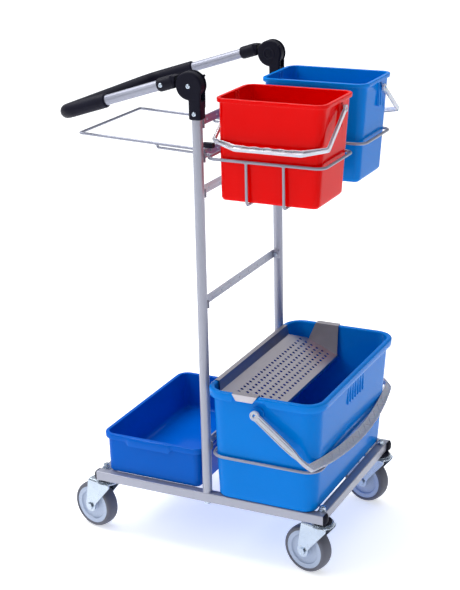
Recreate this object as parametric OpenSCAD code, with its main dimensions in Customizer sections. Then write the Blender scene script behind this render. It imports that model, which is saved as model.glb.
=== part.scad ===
// Housekeeping cart: tube frame on four swivel casters, tilting push handle,
// two small buckets in wire holders, one large bucket with a drip sieve, one tray.
// Millimetres, +Z up, the handle end points along -X, floor at z = 0.

/* [Chassis] */
// Centre distance between the two side rails and between the two posts
rail_gap = 368; // [300:2:450]
// Length of each side rail without its end caps
rail_len = 514; // [400:2:700]
// Outer size of the square rail tube
rail_size = 20; // [16:1:30]
// Wall thickness of the frame tubes
tube_wall = 1.5; // [1:0.25:3]
// Height of the rail top above the floor
rail_top = 143; // [120:1:180]
// Edge radius of the square tube
rail_edge = 2; // [1:0.25:4]
// How far an end cap stands out of the rail end
cap_len = 5; // [2:0.5:8]
// Depth of the end cap plug inside the rail
cap_plug = 14; // [6:1:25]

/* [Posts and strips] */
// Outer diameter of the round posts
post_dia = 20; // [16:1:28]
// Height of the post top above the floor
post_top = 950; // [700:1:1100]
// Length of the solid threaded insert in the post foot
post_insert = 24; // [12:1:40]
// Diameter of the screw that holds each post
post_screw_dia = 8; // [5:1:10]
// Height of the perforated cross strips
strip_h = 17; // [12:1:25]
// Thickness of the cross strips
strip_t = 3; // [2:0.5:5]
// Distance of the strip plane behind the post axis
strip_back = 7.5; // [5:0.5:8.5]
// Height of the bottom strip
strip_z1 = 243; // [200:1:300]
// Height of the lower strip
strip_z2 = 546; // [450:1:620]
// Height of the middle strip
strip_z3 = 770; // [650:1:800]
// Height of the strip that carries the holders
strip_z4 = 838.5; // [810:0.5:860]
// Height of the top strip
strip_z5 = 904.5; // [870:0.5:905]
// Diameter of the holes in the strips
strip_hole = 4.5; // [3:0.5:8]
// Number of holes in each strip
strip_holes = 7; // [3:1:11]

/* [Casters] */
// Wheel diameter
wheel_dia = 100; // [75:5:125]
// Width of the wheel tread
wheel_w = 31; // [20:1:40]
// Depth of the rubber tyre
tyre_depth = 9; // [5:1:15]
// Distance from swivel axis to wheel axle
trail = 35; // [20:1:50]
// Swivel axis position from the post axis, along the rail
caster_x = 246; // [200:1:300]
// Swivel axis distance inside the rail centre line
caster_in = 16; // [15:1:40]
// Angle at which the casters stand at rest
caster_turn = -13; // [-90:1:90]
// Thickness of the fork sheet
fork_t = 3; // [2:0.5:5]
// Diameter of the wheel axle
axle_dia = 8; // [6:1:12]
// Diameter of the caster mounting bolt
stem_dia = 8; // [6:1:12]
// Running clearance of bearings, on the radius
run_gap = 0.05; // [0.02:0.01:0.1]

/* [Handle] */
// Handle pivot distance behind the post axis
pivot_back = 10.6; // [5:0.2:20]
// Height of the handle pivot above the floor
pivot_z = 978.5; // [700:0.5:1100]
// Angle of the handle below the horizontal at rest
handle_drop = 17.5; // [0:0.5:30]
// Distance of the handle tube axis above the pivot
tube_lift = 15.7; // [12:0.1:20]
// Distance from the pivot to the cross bar of the handle
bar_reach = 296; // [200:1:400]
// Outer diameter of the handle tube
handle_dia = 20; // [16:1:28]
// Outer diameter of the grip
grip_dia = 28; // [24:1:40]
// Distance from the pivot at which the grip starts
grip_from = 186; // [120:1:250]
// Centre line radius of the handle corner bends
handle_bend = 34; // [30:1:60]
// Radius of the knuckle discs
knuckle_r = 27; // [22:1:35]
// Half width of a knuckle across the post
knuckle_half = 18; // [14:1:22]
// Thickness of the middle disc of a knuckle
web_t = 15; // [8:1:18]
// Length of the handle socket measured from the pivot
socket_to = 66; // [45:1:90]
// Bottom of the knuckle sleeve above the floor
sleeve_bottom = 915; // [900:1:940]
// Diameter of the release button
button_dia = 26; // [16:1:30]
// Travel of the release button
button_travel = 3; // [1:0.5:5]

/* [Small buckets] */
// Distance of the bucket centres in front of the post axis
small_x = 144; // [120:1:180]
// Distance of each bucket centre from the middle of the cart
small_y = 105; // [90:1:130]
// Height of the small bucket bottom above the floor
small_z = 759.2; // [720:0.2:800]
// Height of the small bucket
small_h = 197.4; // [150:0.2:240]
// Rim length of the small bucket
small_rim_x = 225; // [180:1:260]
// Rim width of the small bucket
small_rim_y = 155; // [120:1:190]
// Bottom length of the small bucket
small_base_x = 200; // [150:1:230]
// Bottom width of the small bucket
small_base_y = 132; // [100:1:160]
// Distance of the bail pivot from the bucket middle
small_pivot_y = 15; // [0:1:30]
// Height of the bail pivot above the bucket bottom
small_pivot_z = 176.8; // [120:0.2:180]
// Distance from bail pivot to bail corner
small_bail_arm = 100; // [80:1:130]
// Distance from bail pivot to the outer edge of the bail grip
small_bail_out = 124; // [100:1:150]
// Angle of the small bails below the horizontal at rest
small_bail_drop = 35.5; // [20:0.5:80]

/* [Large bucket] */
// Distance of the large bucket centre in front of the post axis
large_x = 137; // [125:1:160]
// Height of the large bucket
large_h = 242; // [180:1:280]
// Rim size of the large bucket along the rails
large_rim_x = 250; // [200:1:280]
// Rim size of the large bucket across the cart
large_rim_y = 442; // [380:1:480]
// Bottom size of the large bucket along the rails
large_base_x = 214; // [160:1:240]
// Bottom size of the large bucket across the cart
large_base_y = 388; // [340:1:420]
// Distance of the bail pivot in front of the post axis
large_pivot_x = 128; // [110:1:160]
// Height of the large bail pivot above the bucket bottom
large_pivot_z = 206.7; // [150:0.1:215]
// Distance from bail pivot to the inner edge of the cross bar in its middle
large_bail_in = 168; // [165:1:200]
// Distance from bail pivot to the outer edge of the cross bar in its middle
large_bail_out = 181.5; // [175:0.5:230]
// Radius of the bow of the cross bar, on its inner edge
large_bow_in = 1100; // [600:10:2000]
// Radius of the bow of the cross bar, on its outer edge
large_bow_out = 930; // [600:10:2000]
// Angle of the large bail below the horizontal at rest
large_bail_drop = 39; // [20:1:60]
// Thickness of the large bail
large_bail_t = 8; // [6:1:18]
// Wall thickness of the plastic containers
wall = 2.5; // [1.5:0.25:5]

/* [Sieve] */
// Thickness of the sieve sheet
sieve_t = 1.2; // [0.8:0.1:2]
// Half length of the perforated plate
sieve_half = 198; // [150:1:200]
// Start of the perforated slope, in front of the post axis
slope_x1 = 27.5; // [27:0.5:40]
// End of the perforated slope, in front of the post axis
slope_x2 = 133; // [110:1:150]
// Height of the slope start above the floor
slope_z1 = 364; // [350:1:372]
// Height of the slope end above the floor
slope_z2 = 322; // [300:1:345]
// Number of hole columns along the slope
sieve_cols = 6; // [3:1:6]
// Number of hole rows across the cart
sieve_rows = 27; // [9:2:29]
// Distance between neighbouring holes
sieve_pitch = 13.8; // [9:0.1:14]
// Diameter of the sieve holes
sieve_hole = 6.6; // [3:0.2:8]

/* [Tray] */
// Rim position nearest the posts, behind the post axis
tray_front = 10.5; // [10.5:0.5:20]
// Rim size of the tray along the rails
tray_rim_x = 235.5; // [180:0.5:260]
// Rim size of the tray across the cart
tray_rim_y = 370; // [320:1:420]
// Bottom size of the tray along the rails
tray_base_x = 215; // [160:1:240]
// Bottom size of the tray across the cart
tray_base_y = 358; // [300:1:400]
// Height of the tray
tray_h = 88; // [60:1:120]

/* [Wire parts] */
// Diameter of the holder and hoop wire
wire_dia = 6; // [4:0.5:8]
// Diameter of the bag frame wire
bag_wire_dia = 5.5; // [4:0.5:8]
// Half width of the bag frame
bag_half = 125; // [90:1:150]
// Reach of the bag frame behind the post axis
bag_reach = 294; // [200:1:350]
// Height of the outer edge of the bag frame
bag_z_out = 853; // [835:0.5:880]
// Height of the bag frame wires near the posts
bag_z_in = 841; // [835:0.5:845]
// Outer side wire of a bucket holder, from the middle of the cart
holder_out = 180; // [170:1:190]
// Inner side wire of a bucket holder, from the middle of the cart
holder_in = 29; // [20:1:45]
// Reach of the holders in front of the post axis
holder_reach = 252; // [250:1:280]
// Height of the holder loops
holder_z = 840; // [800:1:845]
// Height of the hoop round the large bucket
hoop_z = 238; // [200:1:260]
// Reach of the hoop in front of the post axis
hoop_reach = 249; // [246:1:280]
// Half width of the hoop across the cart
hoop_half = 206; // [195:0.5:230]

/* [Hidden] */
$fn = 64;
hull_fn = 32;
seat_gap = 0.3;
rest_z = rail_top + seat_gap;
half_gap = rail_gap / 2;
rail_bottom = rail_top - rail_size;
post_r = post_dia / 2;
wire_r = wire_dia / 2;
bag_r = bag_wire_dia / 2;
// Wires welded onto a loop are a little thinner than the loop.
branch_r = wire_r - 0.3;
grip_r = grip_dia / 2;
handle_r = handle_dia / 2;
wheel_r = wheel_dia / 2;
strip_zs = [strip_z1, strip_z2, strip_z3, strip_z4, strip_z5];
strip_face = -strip_back + strip_t / 2;
strip_rear = -strip_back - strip_t / 2;
strip_top = strip_z4 + strip_h / 2;
// Caster stack, from the wheel upwards.
race_r = 22;
sleeve_r = 7;
crown_low = 109;
crown_high = 114.6;
play = 0.4;
washer_t = 1.5;
hex_r = 7.5;
hex_h = 4.6;
fork_half = wheel_w / 2 + 1.5;
// The cart is centred on its own length, from the trailing tyre at the handle end
// to the outer fork corner at the bucket end, so everything shifts by this much.
tread_edge = 9;
crown_front = 22;
x_low = -caster_x - (trail + wheel_r) * cos(caster_turn)
    + (wheel_w / 2 - tread_edge) * sin(caster_turn);
x_high = caster_x + crown_front * cos(caster_turn) - (fork_half + fork_t) * sin(caster_turn);
x_shift = -(x_low + x_high) / 2;
stem_top = rail_top + washer_t + 6.5;
// Knuckle sleeve on the post.
sleeve_x = 25.5;
sleeve_y = 27;
// Bucket details.
lip_t = 2.5;
small_lip = 8;
large_lip = 17;
tray_lip = 12;
small_overhang = 5;
large_overhang = 9;
tray_overhang = 6;
small_corner = 24;
small_base_corner = 12;
large_base_corner = 26;
tray_base_corner = 14;
small_shift = 7.5;
large_shift = 7;
large_corner = 42;
tray_corner = 26;
small_pin_r = 3;
large_pin_r = 4;
small_bail_w = 7;
under_wires = [97, 173];
small_bail_bar = 9.5;
small_bail_t = 5;
small_bail_half = small_rim_x / 2 + 0.5;
large_bail_half = large_rim_y / 2 + 2.1;
large_arm_t = 6;

silver = [0.74, 0.75, 0.78];
black = [0.08, 0.08, 0.1];
zinc = [0.8, 0.83, 0.86];
steel = [0.7, 0.7, 0.72];
red = [0.8, 0.02, 0.03];
blue = [0.02, 0.4, 0.85];
deep_blue = [0.01, 0.25, 0.7];
clear_grey = [0.68, 0.7, 0.74];
hub_grey = [0.72, 0.76, 0.85];
tyre_grey = [0.4, 0.41, 0.46];

// ---------- helpers ----------

module placed() { translate([x_shift, 0, 0]) children(); }

// Flat rectangle with round corners, centred.
module round_rect(w, d, r) {
    square([w - 2 * r, d], center = true);
    square([w, d - 2 * r], center = true);
    for (sx = [-1, 1], sy = [-1, 1])
        translate([sx * (w / 2 - r), sy * (d / 2 - r)]) circle(r = r);
}

// Square tube running along +X from the origin, centred on the axis.
module square_tube(len) {
    rotate([90, 0, 90])
        difference() {
            linear_extrude(len) round_rect(rail_size, rail_size, rail_edge);
            translate([0, 0, -1]) linear_extrude(len + 2)
                square(rail_size - 2 * tube_wall, center = true);
        }
}

// Straight round bar between two points.
module rod(a, b, r) {
    v = b - a;
    translate(a)
        rotate([0, acos(v.z / norm(v)), atan2(v.y, v.x)])
            cylinder(r = r, h = norm(v));
}

// Quarter-like bend at corner b of the path a-b-c.
module elbow(a, b, c, r, bend_r) {
    u = (a - b) / norm(a - b);
    v = (c - b) / norm(c - b);
    open = acos(u * v);
    mid = (u + v) / norm(u + v);
    centre = b + mid * bend_r / sin(open / 2);
    run = bend_r / tan(open / 2);
    e1 = (b + u * run - centre) / bend_r;
    n = cross(e1, (b + v * run - centre) / bend_r);
    e3 = n / norm(n);
    e2 = cross(e3, e1);
    multmatrix([[e1.x, e2.x, e3.x, centre.x], [e1.y, e2.y, e3.y, centre.y],
            [e1.z, e2.z, e3.z, centre.z], [0, 0, 0, 1]])
        rotate_extrude(angle = 180 - open) translate([bend_r, 0]) circle(r = r);
}

// Length used up by a bend on each side of corner b.
function run_at(a, b, c, bend_r) =
    bend_r / tan(acos((a - b) / norm(a - b) * (c - b) / norm(c - b)) / 2);

// Bent wire through the points of an open path.
module wire(p, r, bend_r) {
    last = len(p) - 1;
    for (i = [0 : last - 1]) {
        v = (p[i + 1] - p[i]) / norm(p[i + 1] - p[i]);
        s = i == 0 ? p[0] : p[i] + v * run_at(p[i - 1], p[i], p[i + 1], bend_r);
        e = i == last - 1 ? p[last]
            : p[i + 1] - v * run_at(p[i], p[i + 1], p[i + 2], bend_r);
        rod(s, e, r);
    }
    for (i = [1 : last - 1]) elbow(p[i - 1], p[i], p[i + 1], r, bend_r);
}

// Closed rectangular wire loop at height z.
module wire_loop(x1, x2, y1, y2, z, r, bend_r) {
    mx = (x1 + x2) / 2;
    wire([[mx, y1, z], [x2, y1, z], [x2, y2, z], [x1, y2, z], [x1, y1, z], [mx, y1, z]],
        r, bend_r);
}

// Tapered open container standing on z = 0, its foot shifted towards -X.
module container(bx, by, tx, ty, h, rb, rt, shift) {
    difference() {
        hull() {
            translate([-shift, 0, 0]) linear_extrude(0.5)
                round_rect(bx, by, rb, $fn = hull_fn);
            translate([0, 0, h - 0.5]) linear_extrude(0.5)
                round_rect(tx, ty, rt, $fn = hull_fn);
        }
        hull() {
            translate([-shift, 0, wall]) linear_extrude(0.5)
                round_rect(bx - 2 * wall, by - 2 * wall, rb - wall, $fn = hull_fn);
            translate([0, 0, h]) linear_extrude(0.5)
                round_rect(tx - 2 * wall, ty - 2 * wall, rt - wall, $fn = hull_fn);
        }
    }
}

// Rim with a turned-down lip; its top is at z = 0.
module rim(tx, ty, rt, overhang, drop) {
    ox = tx + 2 * overhang;
    oy = ty + 2 * overhang;
    translate([0, 0, -lip_t]) linear_extrude(lip_t)
        difference() {
            round_rect(ox, oy, rt + overhang);
            round_rect(tx - wall, ty - wall, rt - wall / 2);
        }
    translate([0, 0, -drop]) linear_extrude(drop - lip_t / 2)
        difference() {
            round_rect(ox, oy, rt + overhang);
            round_rect(ox - 2 * lip_t, oy - 2 * lip_t, rt + overhang - lip_t);
        }
}

// Bar along Y with a hexagonal section.
module hex_y(r, h) { rotate([-90, 0, 0]) cylinder(r = r, h = h, $fn = 6); }

// Round bar along Y starting at the origin.
module round_y(r, h) { rotate([-90, 0, 0]) cylinder(r = r, h = h); }

// ---------- chassis ----------

module side_rail(side) {
    color(silver) placed() difference() {
        translate([-rail_len / 2, side * half_gap, rail_top - rail_size / 2])
            square_tube(rail_len);
        translate([0, side * half_gap, rail_bottom - 1])
            cylinder(d = post_screw_dia + 0.4, h = rail_size + 2);
    }
}

module cross_member(end) {
    span = rail_gap - rail_size;
    color(silver) placed() difference() {
        translate([end * caster_x, -span / 2, rail_top - rail_size / 2])
            rotate([0, 0, 90]) square_tube(span);
        for (side = [-1, 1])
            translate([end * caster_x, side * (half_gap - caster_in), rail_bottom - 1])
                cylinder(d = stem_dia + 0.4, h = rail_size + 2);
    }
}

module rail_end_caps() {
    plug = rail_size - 2 * tube_wall - 0.1;
    color(black) placed()
        for (end = [-1, 1], side = [-1, 1])
            translate([end * rail_len / 2, side * half_gap, rail_top - rail_size / 2])
                rotate([0, end * 90, 0]) {
                    linear_extrude(cap_len - 2)
                        round_rect(rail_size, rail_size, rail_edge);
                    linear_extrude(cap_len)
                        round_rect(rail_size - 3, rail_size - 3, rail_edge);
                    translate([0, 0, -cap_plug]) linear_extrude(cap_plug)
                        square(plug, center = true);
                }
}

module post(side) {
    color(silver) placed() difference() {
        translate([0, side * half_gap, rail_top])
            cylinder(r = post_r, h = post_top - rail_top);
        translate([0, side * half_gap, rail_top + post_insert])
            cylinder(r = post_r - tube_wall, h = post_top - rail_top);
        translate([0, side * half_gap, rail_top - 1])
            cylinder(d = post_screw_dia + 0.2, h = post_insert + 2);
        for (z = strip_zs)
            translate([0, side * half_gap - (side > 0 ? post_r + 1 : 0), z])
                round_y(2.2, post_r + 1);
        translate([0, side * half_gap - (side > 0 ? 0 : post_r + 1), sleeve_bottom + 12])
            round_y(2.2, post_r + 1);
    }
}

module post_foot_screws() {
    head_h = 4;
    color(zinc) placed()
        for (side = [-1, 1]) translate([0, side * half_gap, rail_bottom]) {
            translate([0, 0, -washer_t]) cylinder(r = 8.5, h = washer_t);
            translate([0, 0, -washer_t - head_h]) cylinder(r = hex_r, h = head_h, $fn = 6);
            cylinder(d = post_screw_dia, h = rail_size + post_insert - 2);
        }
}

module cross_strip(z) {
    inner = half_gap - post_r;
    pitch = 2 * inner / (strip_holes + 1);
    color(silver) placed() {
        difference() {
            translate([strip_rear, -inner + strip_t / 2, z - strip_h / 2])
                cube([strip_t, 2 * inner - strip_t, strip_h]);
            for (i = [1 : strip_holes])
                translate([strip_rear - 1, -inner + i * pitch, z])
                    rotate([0, 90, 0]) cylinder(d = strip_hole, h = strip_t + 2);
        }
        for (side = [-1, 1]) difference() {
            translate([strip_rear, side * inner - (side > 0 ? strip_t : 0), z - strip_h / 2])
                cube([2 * -strip_rear, strip_t, strip_h]);
            translate([0, side * inner - strip_t - 1, z]) round_y(2.2, 2 * strip_t + 2);
        }
    }
}

module strip_screws() {
    inner = half_gap - post_r - strip_t;
    color(zinc) placed()
        for (z = strip_zs, side = [-1, 1]) translate([0, side * inner, z]) {
            translate([0, side > 0 ? -2.5 : 0, 0]) round_y(4, 2.5);
            translate([0, side > 0 ? -1 : -strip_t - 2, 0]) round_y(2, strip_t + 3);
        }
}

// ---------- wire parts ----------

hook_x1 = strip_face + bag_r + 2;
hook_x2 = strip_rear - bag_r - 2;
hook_gap = hook_x1 - hook_x2;
hook_h = strip_top + 2.8 + bag_r - bag_z_in;
bag_tilt = atan2(bag_z_out - bag_z_in, hook_x2 + bag_reach);
bag_len = (hook_x2 + bag_reach) / cos(bag_tilt);

// Frame of the bag wires: origin behind the strip, tilted up towards -X.
module on_bag() {
    placed() translate([hook_x2, 0, bag_z_in]) rotate([0, bag_tilt, 0]) children();
}

module bag_frame() {
    strut_len = 105;
    drop = bag_wire_dia + 2;
    color(silver) on_bag() {
        wire([[hook_gap, -bag_half, 0], [hook_gap, -bag_half, hook_h],
            [0, -bag_half, hook_h], [0, -bag_half, 0],
            [-bag_len, -bag_half, 0], [-bag_len, bag_half, 0],
            [0, bag_half, 0], [0, bag_half, hook_h],
            [hook_gap, bag_half, hook_h], [hook_gap, bag_half, 0]], bag_r, 4);
        for (y = [-bag_half, bag_half])
            wire([[-strut_len, y, 0], [-strut_len, y, -drop], [4, y, -drop]],
                bag_r - 0.25, 3.5);
    }
}

module bag_frame_clips() {
    clip_w = 11;
    color(black)
        for (y = [-bag_half, bag_half]) difference() {
            placed() translate([hook_x2 - 5, y - clip_w / 2, strip_top + 0.3])
                cube([hook_gap + 10, clip_w, 9]);
            on_bag() wire([[hook_gap, y, 0], [hook_gap, y, hook_h],
                [0, y, hook_h], [0, y, 0]], bag_r + 0.1, 4);
        }
}

module bucket_holder(side) {
    x1 = 14;
    y_out = side * holder_out;
    y_in = side * holder_in;
    low = small_z - seat_gap - branch_r;
    up = strip_top + 0.3 + wire_r;
    front = strip_face + wire_r + 1.5;
    rear = strip_rear - wire_r - 1.5;
    color(silver) placed() {
        wire_loop(x1, holder_reach, y_out, y_in, holder_z, wire_r, 18);
        for (x = under_wires)
            wire([[x, y_out, holder_z], [x, y_out, low], [x, y_in, low], [x, y_in, holder_z]],
                branch_r, 8);
        for (y = [side * (holder_out - 28), side * (holder_in + 28)])
            wire([[x1, y, holder_z], [front, y, holder_z], [front, y, up], [rear, y, up],
                [rear, y, strip_z4 - 4]], branch_r, 4);
    }
}

module large_bucket_hoop() {
    color(silver) placed() {
        wire_loop(18, hoop_reach, -hoop_half, hoop_half, hoop_z, wire_r, 30);
        for (y = [-120, 120]) rod([18, y, hoop_z], [strip_face, y, hoop_z], branch_r);
    }
}

// ---------- handle ----------

// Frame of the handle: origin on the pivot, -X out along the arms.
module on_handle() {
    placed() translate([-pivot_back, 0, pivot_z]) rotate([0, -handle_drop, 0]) children();
}

// Near or far copy of something built round a post centre line with +Y facing inwards.
module at_side(side) {
    translate([0, side * half_gap, 0]) mirror([0, side > 0 ? 1 : 0, 0]) children();
}

module knuckle_cheek(y1, y2) {
    block_top = pivot_z - knuckle_r - 1;
    translate([0, y2, 0]) rotate([90, 0, 0]) linear_extrude(y2 - y1) {
        translate([-pivot_back, pivot_z]) circle(r = knuckle_r);
        polygon([[-15, block_top - 8], [15, block_top - 8],
            [16, pivot_z + 2], [-pivot_back - knuckle_r * 0.86, pivot_z - knuckle_r * 0.51]]);
    }
}

module knuckle_body(side) {
    block_top = pivot_z - knuckle_r - 1;
    gap = web_t / 2 + 0.5;
    color(black) placed() at_side(side) difference() {
        union() {
            knuckle_cheek(-knuckle_half, -gap);
            knuckle_cheek(gap, knuckle_half);
            translate([0, 0, sleeve_bottom]) linear_extrude(block_top - sleeve_bottom)
                round_rect(sleeve_x, sleeve_y, 7);
        }
        translate([0, 0, sleeve_bottom - 1])
            cylinder(r = post_r + 0.05, h = post_top - sleeve_bottom + 1.2);
        translate([-pivot_back, -knuckle_half - 1, pivot_z]) round_y(5.1, 2 * knuckle_half + 2);
        translate([-pivot_back, knuckle_half - 7, pivot_z])
            round_y(button_dia / 2 + 0.1, 8);
        translate([0, -knuckle_half - 1, sleeve_bottom + 12]) round_y(2.2, knuckle_half);
    }
}

module knuckle_pivot_pins() {
    reach = knuckle_half - 7;
    color(zinc) placed() for (side = [-1, 1]) at_side(side)
        translate([-pivot_back, -knuckle_half, pivot_z]) difference() {
            union() {
                round_y(5, knuckle_half + reach);
                translate([0, -2, 0]) round_y(7, 2);
            }
            translate([0, knuckle_half - 1, 0]) round_y(3 + run_gap, 20);
        }
}

module knuckle_post_screws() {
    color(zinc) placed() for (side = [-1, 1]) at_side(side)
        translate([0, -sleeve_y / 2 - 2, sleeve_bottom + 12]) {
            round_y(4.5, 2);
            round_y(2, sleeve_y / 2 - post_r + 5);
        }
}

// Socket built in the handle frame, its own pivot at the origin.
module socket_shape() {
    shell = handle_r + 5;
    start = knuckle_r + 4;
    difference() {
        union() {
            round_y(knuckle_r - 1.5, web_t);
            translate([-start - 6, 0, -2]) cube([start + 6, web_t, tube_lift + 8]);
            translate([-socket_to, web_t / 2, tube_lift]) rotate([0, 90, 0])
                cylinder(r = shell, h = socket_to - start);
        }
        translate([-socket_to - 1, web_t / 2, tube_lift]) rotate([0, 90, 0])
            cylinder(r = handle_r + 0.05, h = socket_to - start - 3);
        translate([0, -1, 0]) round_y(5 + run_gap, web_t + 2);
        translate([-socket_to + 10, web_t / 2 - shell - 1, tube_lift]) round_y(2.2, shell + 1);
    }
}

module handle_socket(side) {
    color(black) on_handle() at_side(side) translate([0, -web_t / 2, 0]) socket_shape();
}

module handle_socket_screws() {
    shell = handle_r + 5;
    color(zinc) on_handle() for (side = [-1, 1]) at_side(side)
        translate([-socket_to + 10, -shell - 2.6, tube_lift]) {
            round_y(4.5, 2.5);
            round_y(2, 10);
        }
}

function handle_path(from) = [[-from, -half_gap, tube_lift], [-bar_reach, -half_gap, tube_lift],
    [-bar_reach, half_gap, tube_lift], [-from, half_gap, tube_lift]];

module handle_tube() {
    start = knuckle_r + 9;
    color(silver) on_handle() difference() {
        wire(handle_path(start), handle_r, handle_bend);
        for (side = [-1, 1]) translate([0, side * half_gap, tube_lift]) {
            translate([-bar_reach + handle_bend + 2, 0, 0]) rotate([0, 90, 0])
                cylinder(r = handle_r - tube_wall, h = bar_reach);
            translate([-socket_to + 10, side > 0 ? 0 : -handle_r - 2, 0])
                round_y(2.2, handle_r + 2);
        }
    }
}

module handle_grip() {
    color(black) on_handle() difference() {
        wire(handle_path(grip_from), grip_r, handle_bend);
        wire(handle_path(grip_from - 1), handle_r + 0.05, handle_bend);
    }
}

module release_button(side) {
    color(black) placed() at_side(side)
        translate([-pivot_back, knuckle_half - button_travel - 0.5, pivot_z]) {
            round_y(button_dia / 2, button_travel + 0.5);
            translate([0, -3.7, 0]) round_y(3, 4.7);
        }
}

// ---------- small buckets ----------

module small_bucket(y, tint) {
    body_x = small_rim_x - 2 * small_overhang;
    body_y = small_rim_y - 2 * small_overhang;
    color(tint) placed() translate([small_x, y, small_z]) {
        container(small_base_x, small_base_y, body_x, body_y, small_h, small_base_corner,
            small_corner - 6, small_shift);
        translate([0, 0, small_h])
            rim(body_x, body_y, small_corner - 6, small_overhang, small_lip);
        for (end = [-1, 1])
            translate([end * (body_x / 2 - 3), small_pivot_y, small_pivot_z])
                rotate([0, end * 90, 0])
                    cylinder(r = small_pin_r, h = small_bail_half + small_bail_t - body_x / 2 + 4);
    }
}

// Bail lying in its own plane: X along the bucket, +Y away from the pivots.
module small_bail_shape() {
    out_x = small_bail_half + small_bail_t;
    grip_x = 66;
    bar = small_bail_bar;
    difference() {
        union() {
            translate([0, 0, -small_bail_w / 2]) linear_extrude(small_bail_w)
                polygon([[-out_x, 0], [-out_x, small_bail_arm + 6], [-grip_x - 2, small_bail_out],
                    [grip_x + 2, small_bail_out], [out_x, small_bail_arm + 6], [out_x, 0],
                    [small_bail_half, 0], [small_bail_half, small_bail_arm + 2],
                    [grip_x, small_bail_out - bar], [-grip_x, small_bail_out - bar],
                    [-small_bail_half, small_bail_arm + 2], [-small_bail_half, 0]]);
            for (x = [-out_x, small_bail_half]) translate([x, 0, 0]) rotate([0, 90, 0])
                cylinder(r = 6, h = small_bail_t);
        }
        translate([-out_x - 1, 0, 0]) rotate([0, 90, 0])
            cylinder(r = small_pin_r + run_gap, h = 2 * out_x + 2);
        for (x = [-48, -20, 8, 36])
            translate([x, small_bail_out - 7.2, -small_bail_w]) cube([16, 4.8, 2 * small_bail_w]);
    }
}

module small_bail(y, side) {
    color(clear_grey) placed()
        translate([small_x, y + small_pivot_y, small_z + small_pivot_z])
            mirror([0, side < 0 ? 1 : 0, 0]) rotate([-small_bail_drop, 0, 0])
                small_bail_shape();
}

// ---------- large bucket, sieve, tray ----------

module large_bucket() {
    body_x = large_rim_x - 2 * large_overhang;
    body_y = large_rim_y - 2 * large_overhang;
    color(blue) placed() translate([large_x, 0, rest_z]) {
        container(large_base_x, large_base_y, body_x, body_y, large_h, large_base_corner,
            large_corner - 9, large_shift);
        translate([0, 0, large_h])
            rim(body_x, body_y, large_corner - 9, large_overhang, large_lip);
        for (side = [-1, 1])
            translate([large_pivot_x - large_x, side * (body_y / 2 - 4), large_pivot_z])
                rotate([-side * 90, 0, 0]) {
                    cylinder(r = large_pin_r, h = large_bail_half + large_arm_t - body_y / 2 + 5);
                    cylinder(r = 11, h = large_rim_y / 2 - body_y / 2 + 4);
                }
    }
}

// Rounded rectangle whose +X side is bowed outwards.
module bowed(reach, half, corner, bow) {
    intersection() {
        round_rect(2 * reach, 2 * half, corner);
        translate([reach - bow, 0]) circle(r = bow);
    }
}

module large_bucket_bail() {
    out_y = large_bail_half + large_arm_t;
    rib = 30;
    ribs = 10;
    rib_deep = 1.5;
    color(clear_grey) placed()
        translate([large_pivot_x, 0, rest_z + large_pivot_z]) rotate([0, large_bail_drop, 0])
            difference() {
                union() {
                    translate([0, 0, -large_bail_t / 2]) linear_extrude(large_bail_t)
                        intersection() {
                            difference() {
                                bowed(large_bail_out, out_y, 78, large_bow_out);
                                bowed(large_bail_in, large_bail_half, 66, large_bow_in);
                            }
                            translate([0, -out_y - 1]) square([large_bail_out + 1, 2 * out_y + 2]);
                        }
                    for (side = [-1, 1])
                        translate([0, side > 0 ? large_bail_half : -out_y, 0])
                            round_y(10, large_arm_t);
                }
                translate([0, -out_y - 1, 0]) round_y(large_pin_r + run_gap, 2 * out_y + 2);
                // Shallow pockets that leave zig-zag ribs along the cross bar.
                for (i = [0 : ribs - 1], s = [-1, 1])
                    rotate([0, 0, (i - (ribs - 1) / 2) * 1.9])
                        translate([(large_bail_in + large_bail_out) / 2 - 4, 0, 0])
                            translate([0, (i - (ribs - 1) / 2) * (rib - 5.6),
                                    s * large_bail_t / 2])
                                linear_extrude(2 * rib_deep, center = true)
                                    polygon([[-3, -9], [4, 0], [-3, 9]]);
            }
}

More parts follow.
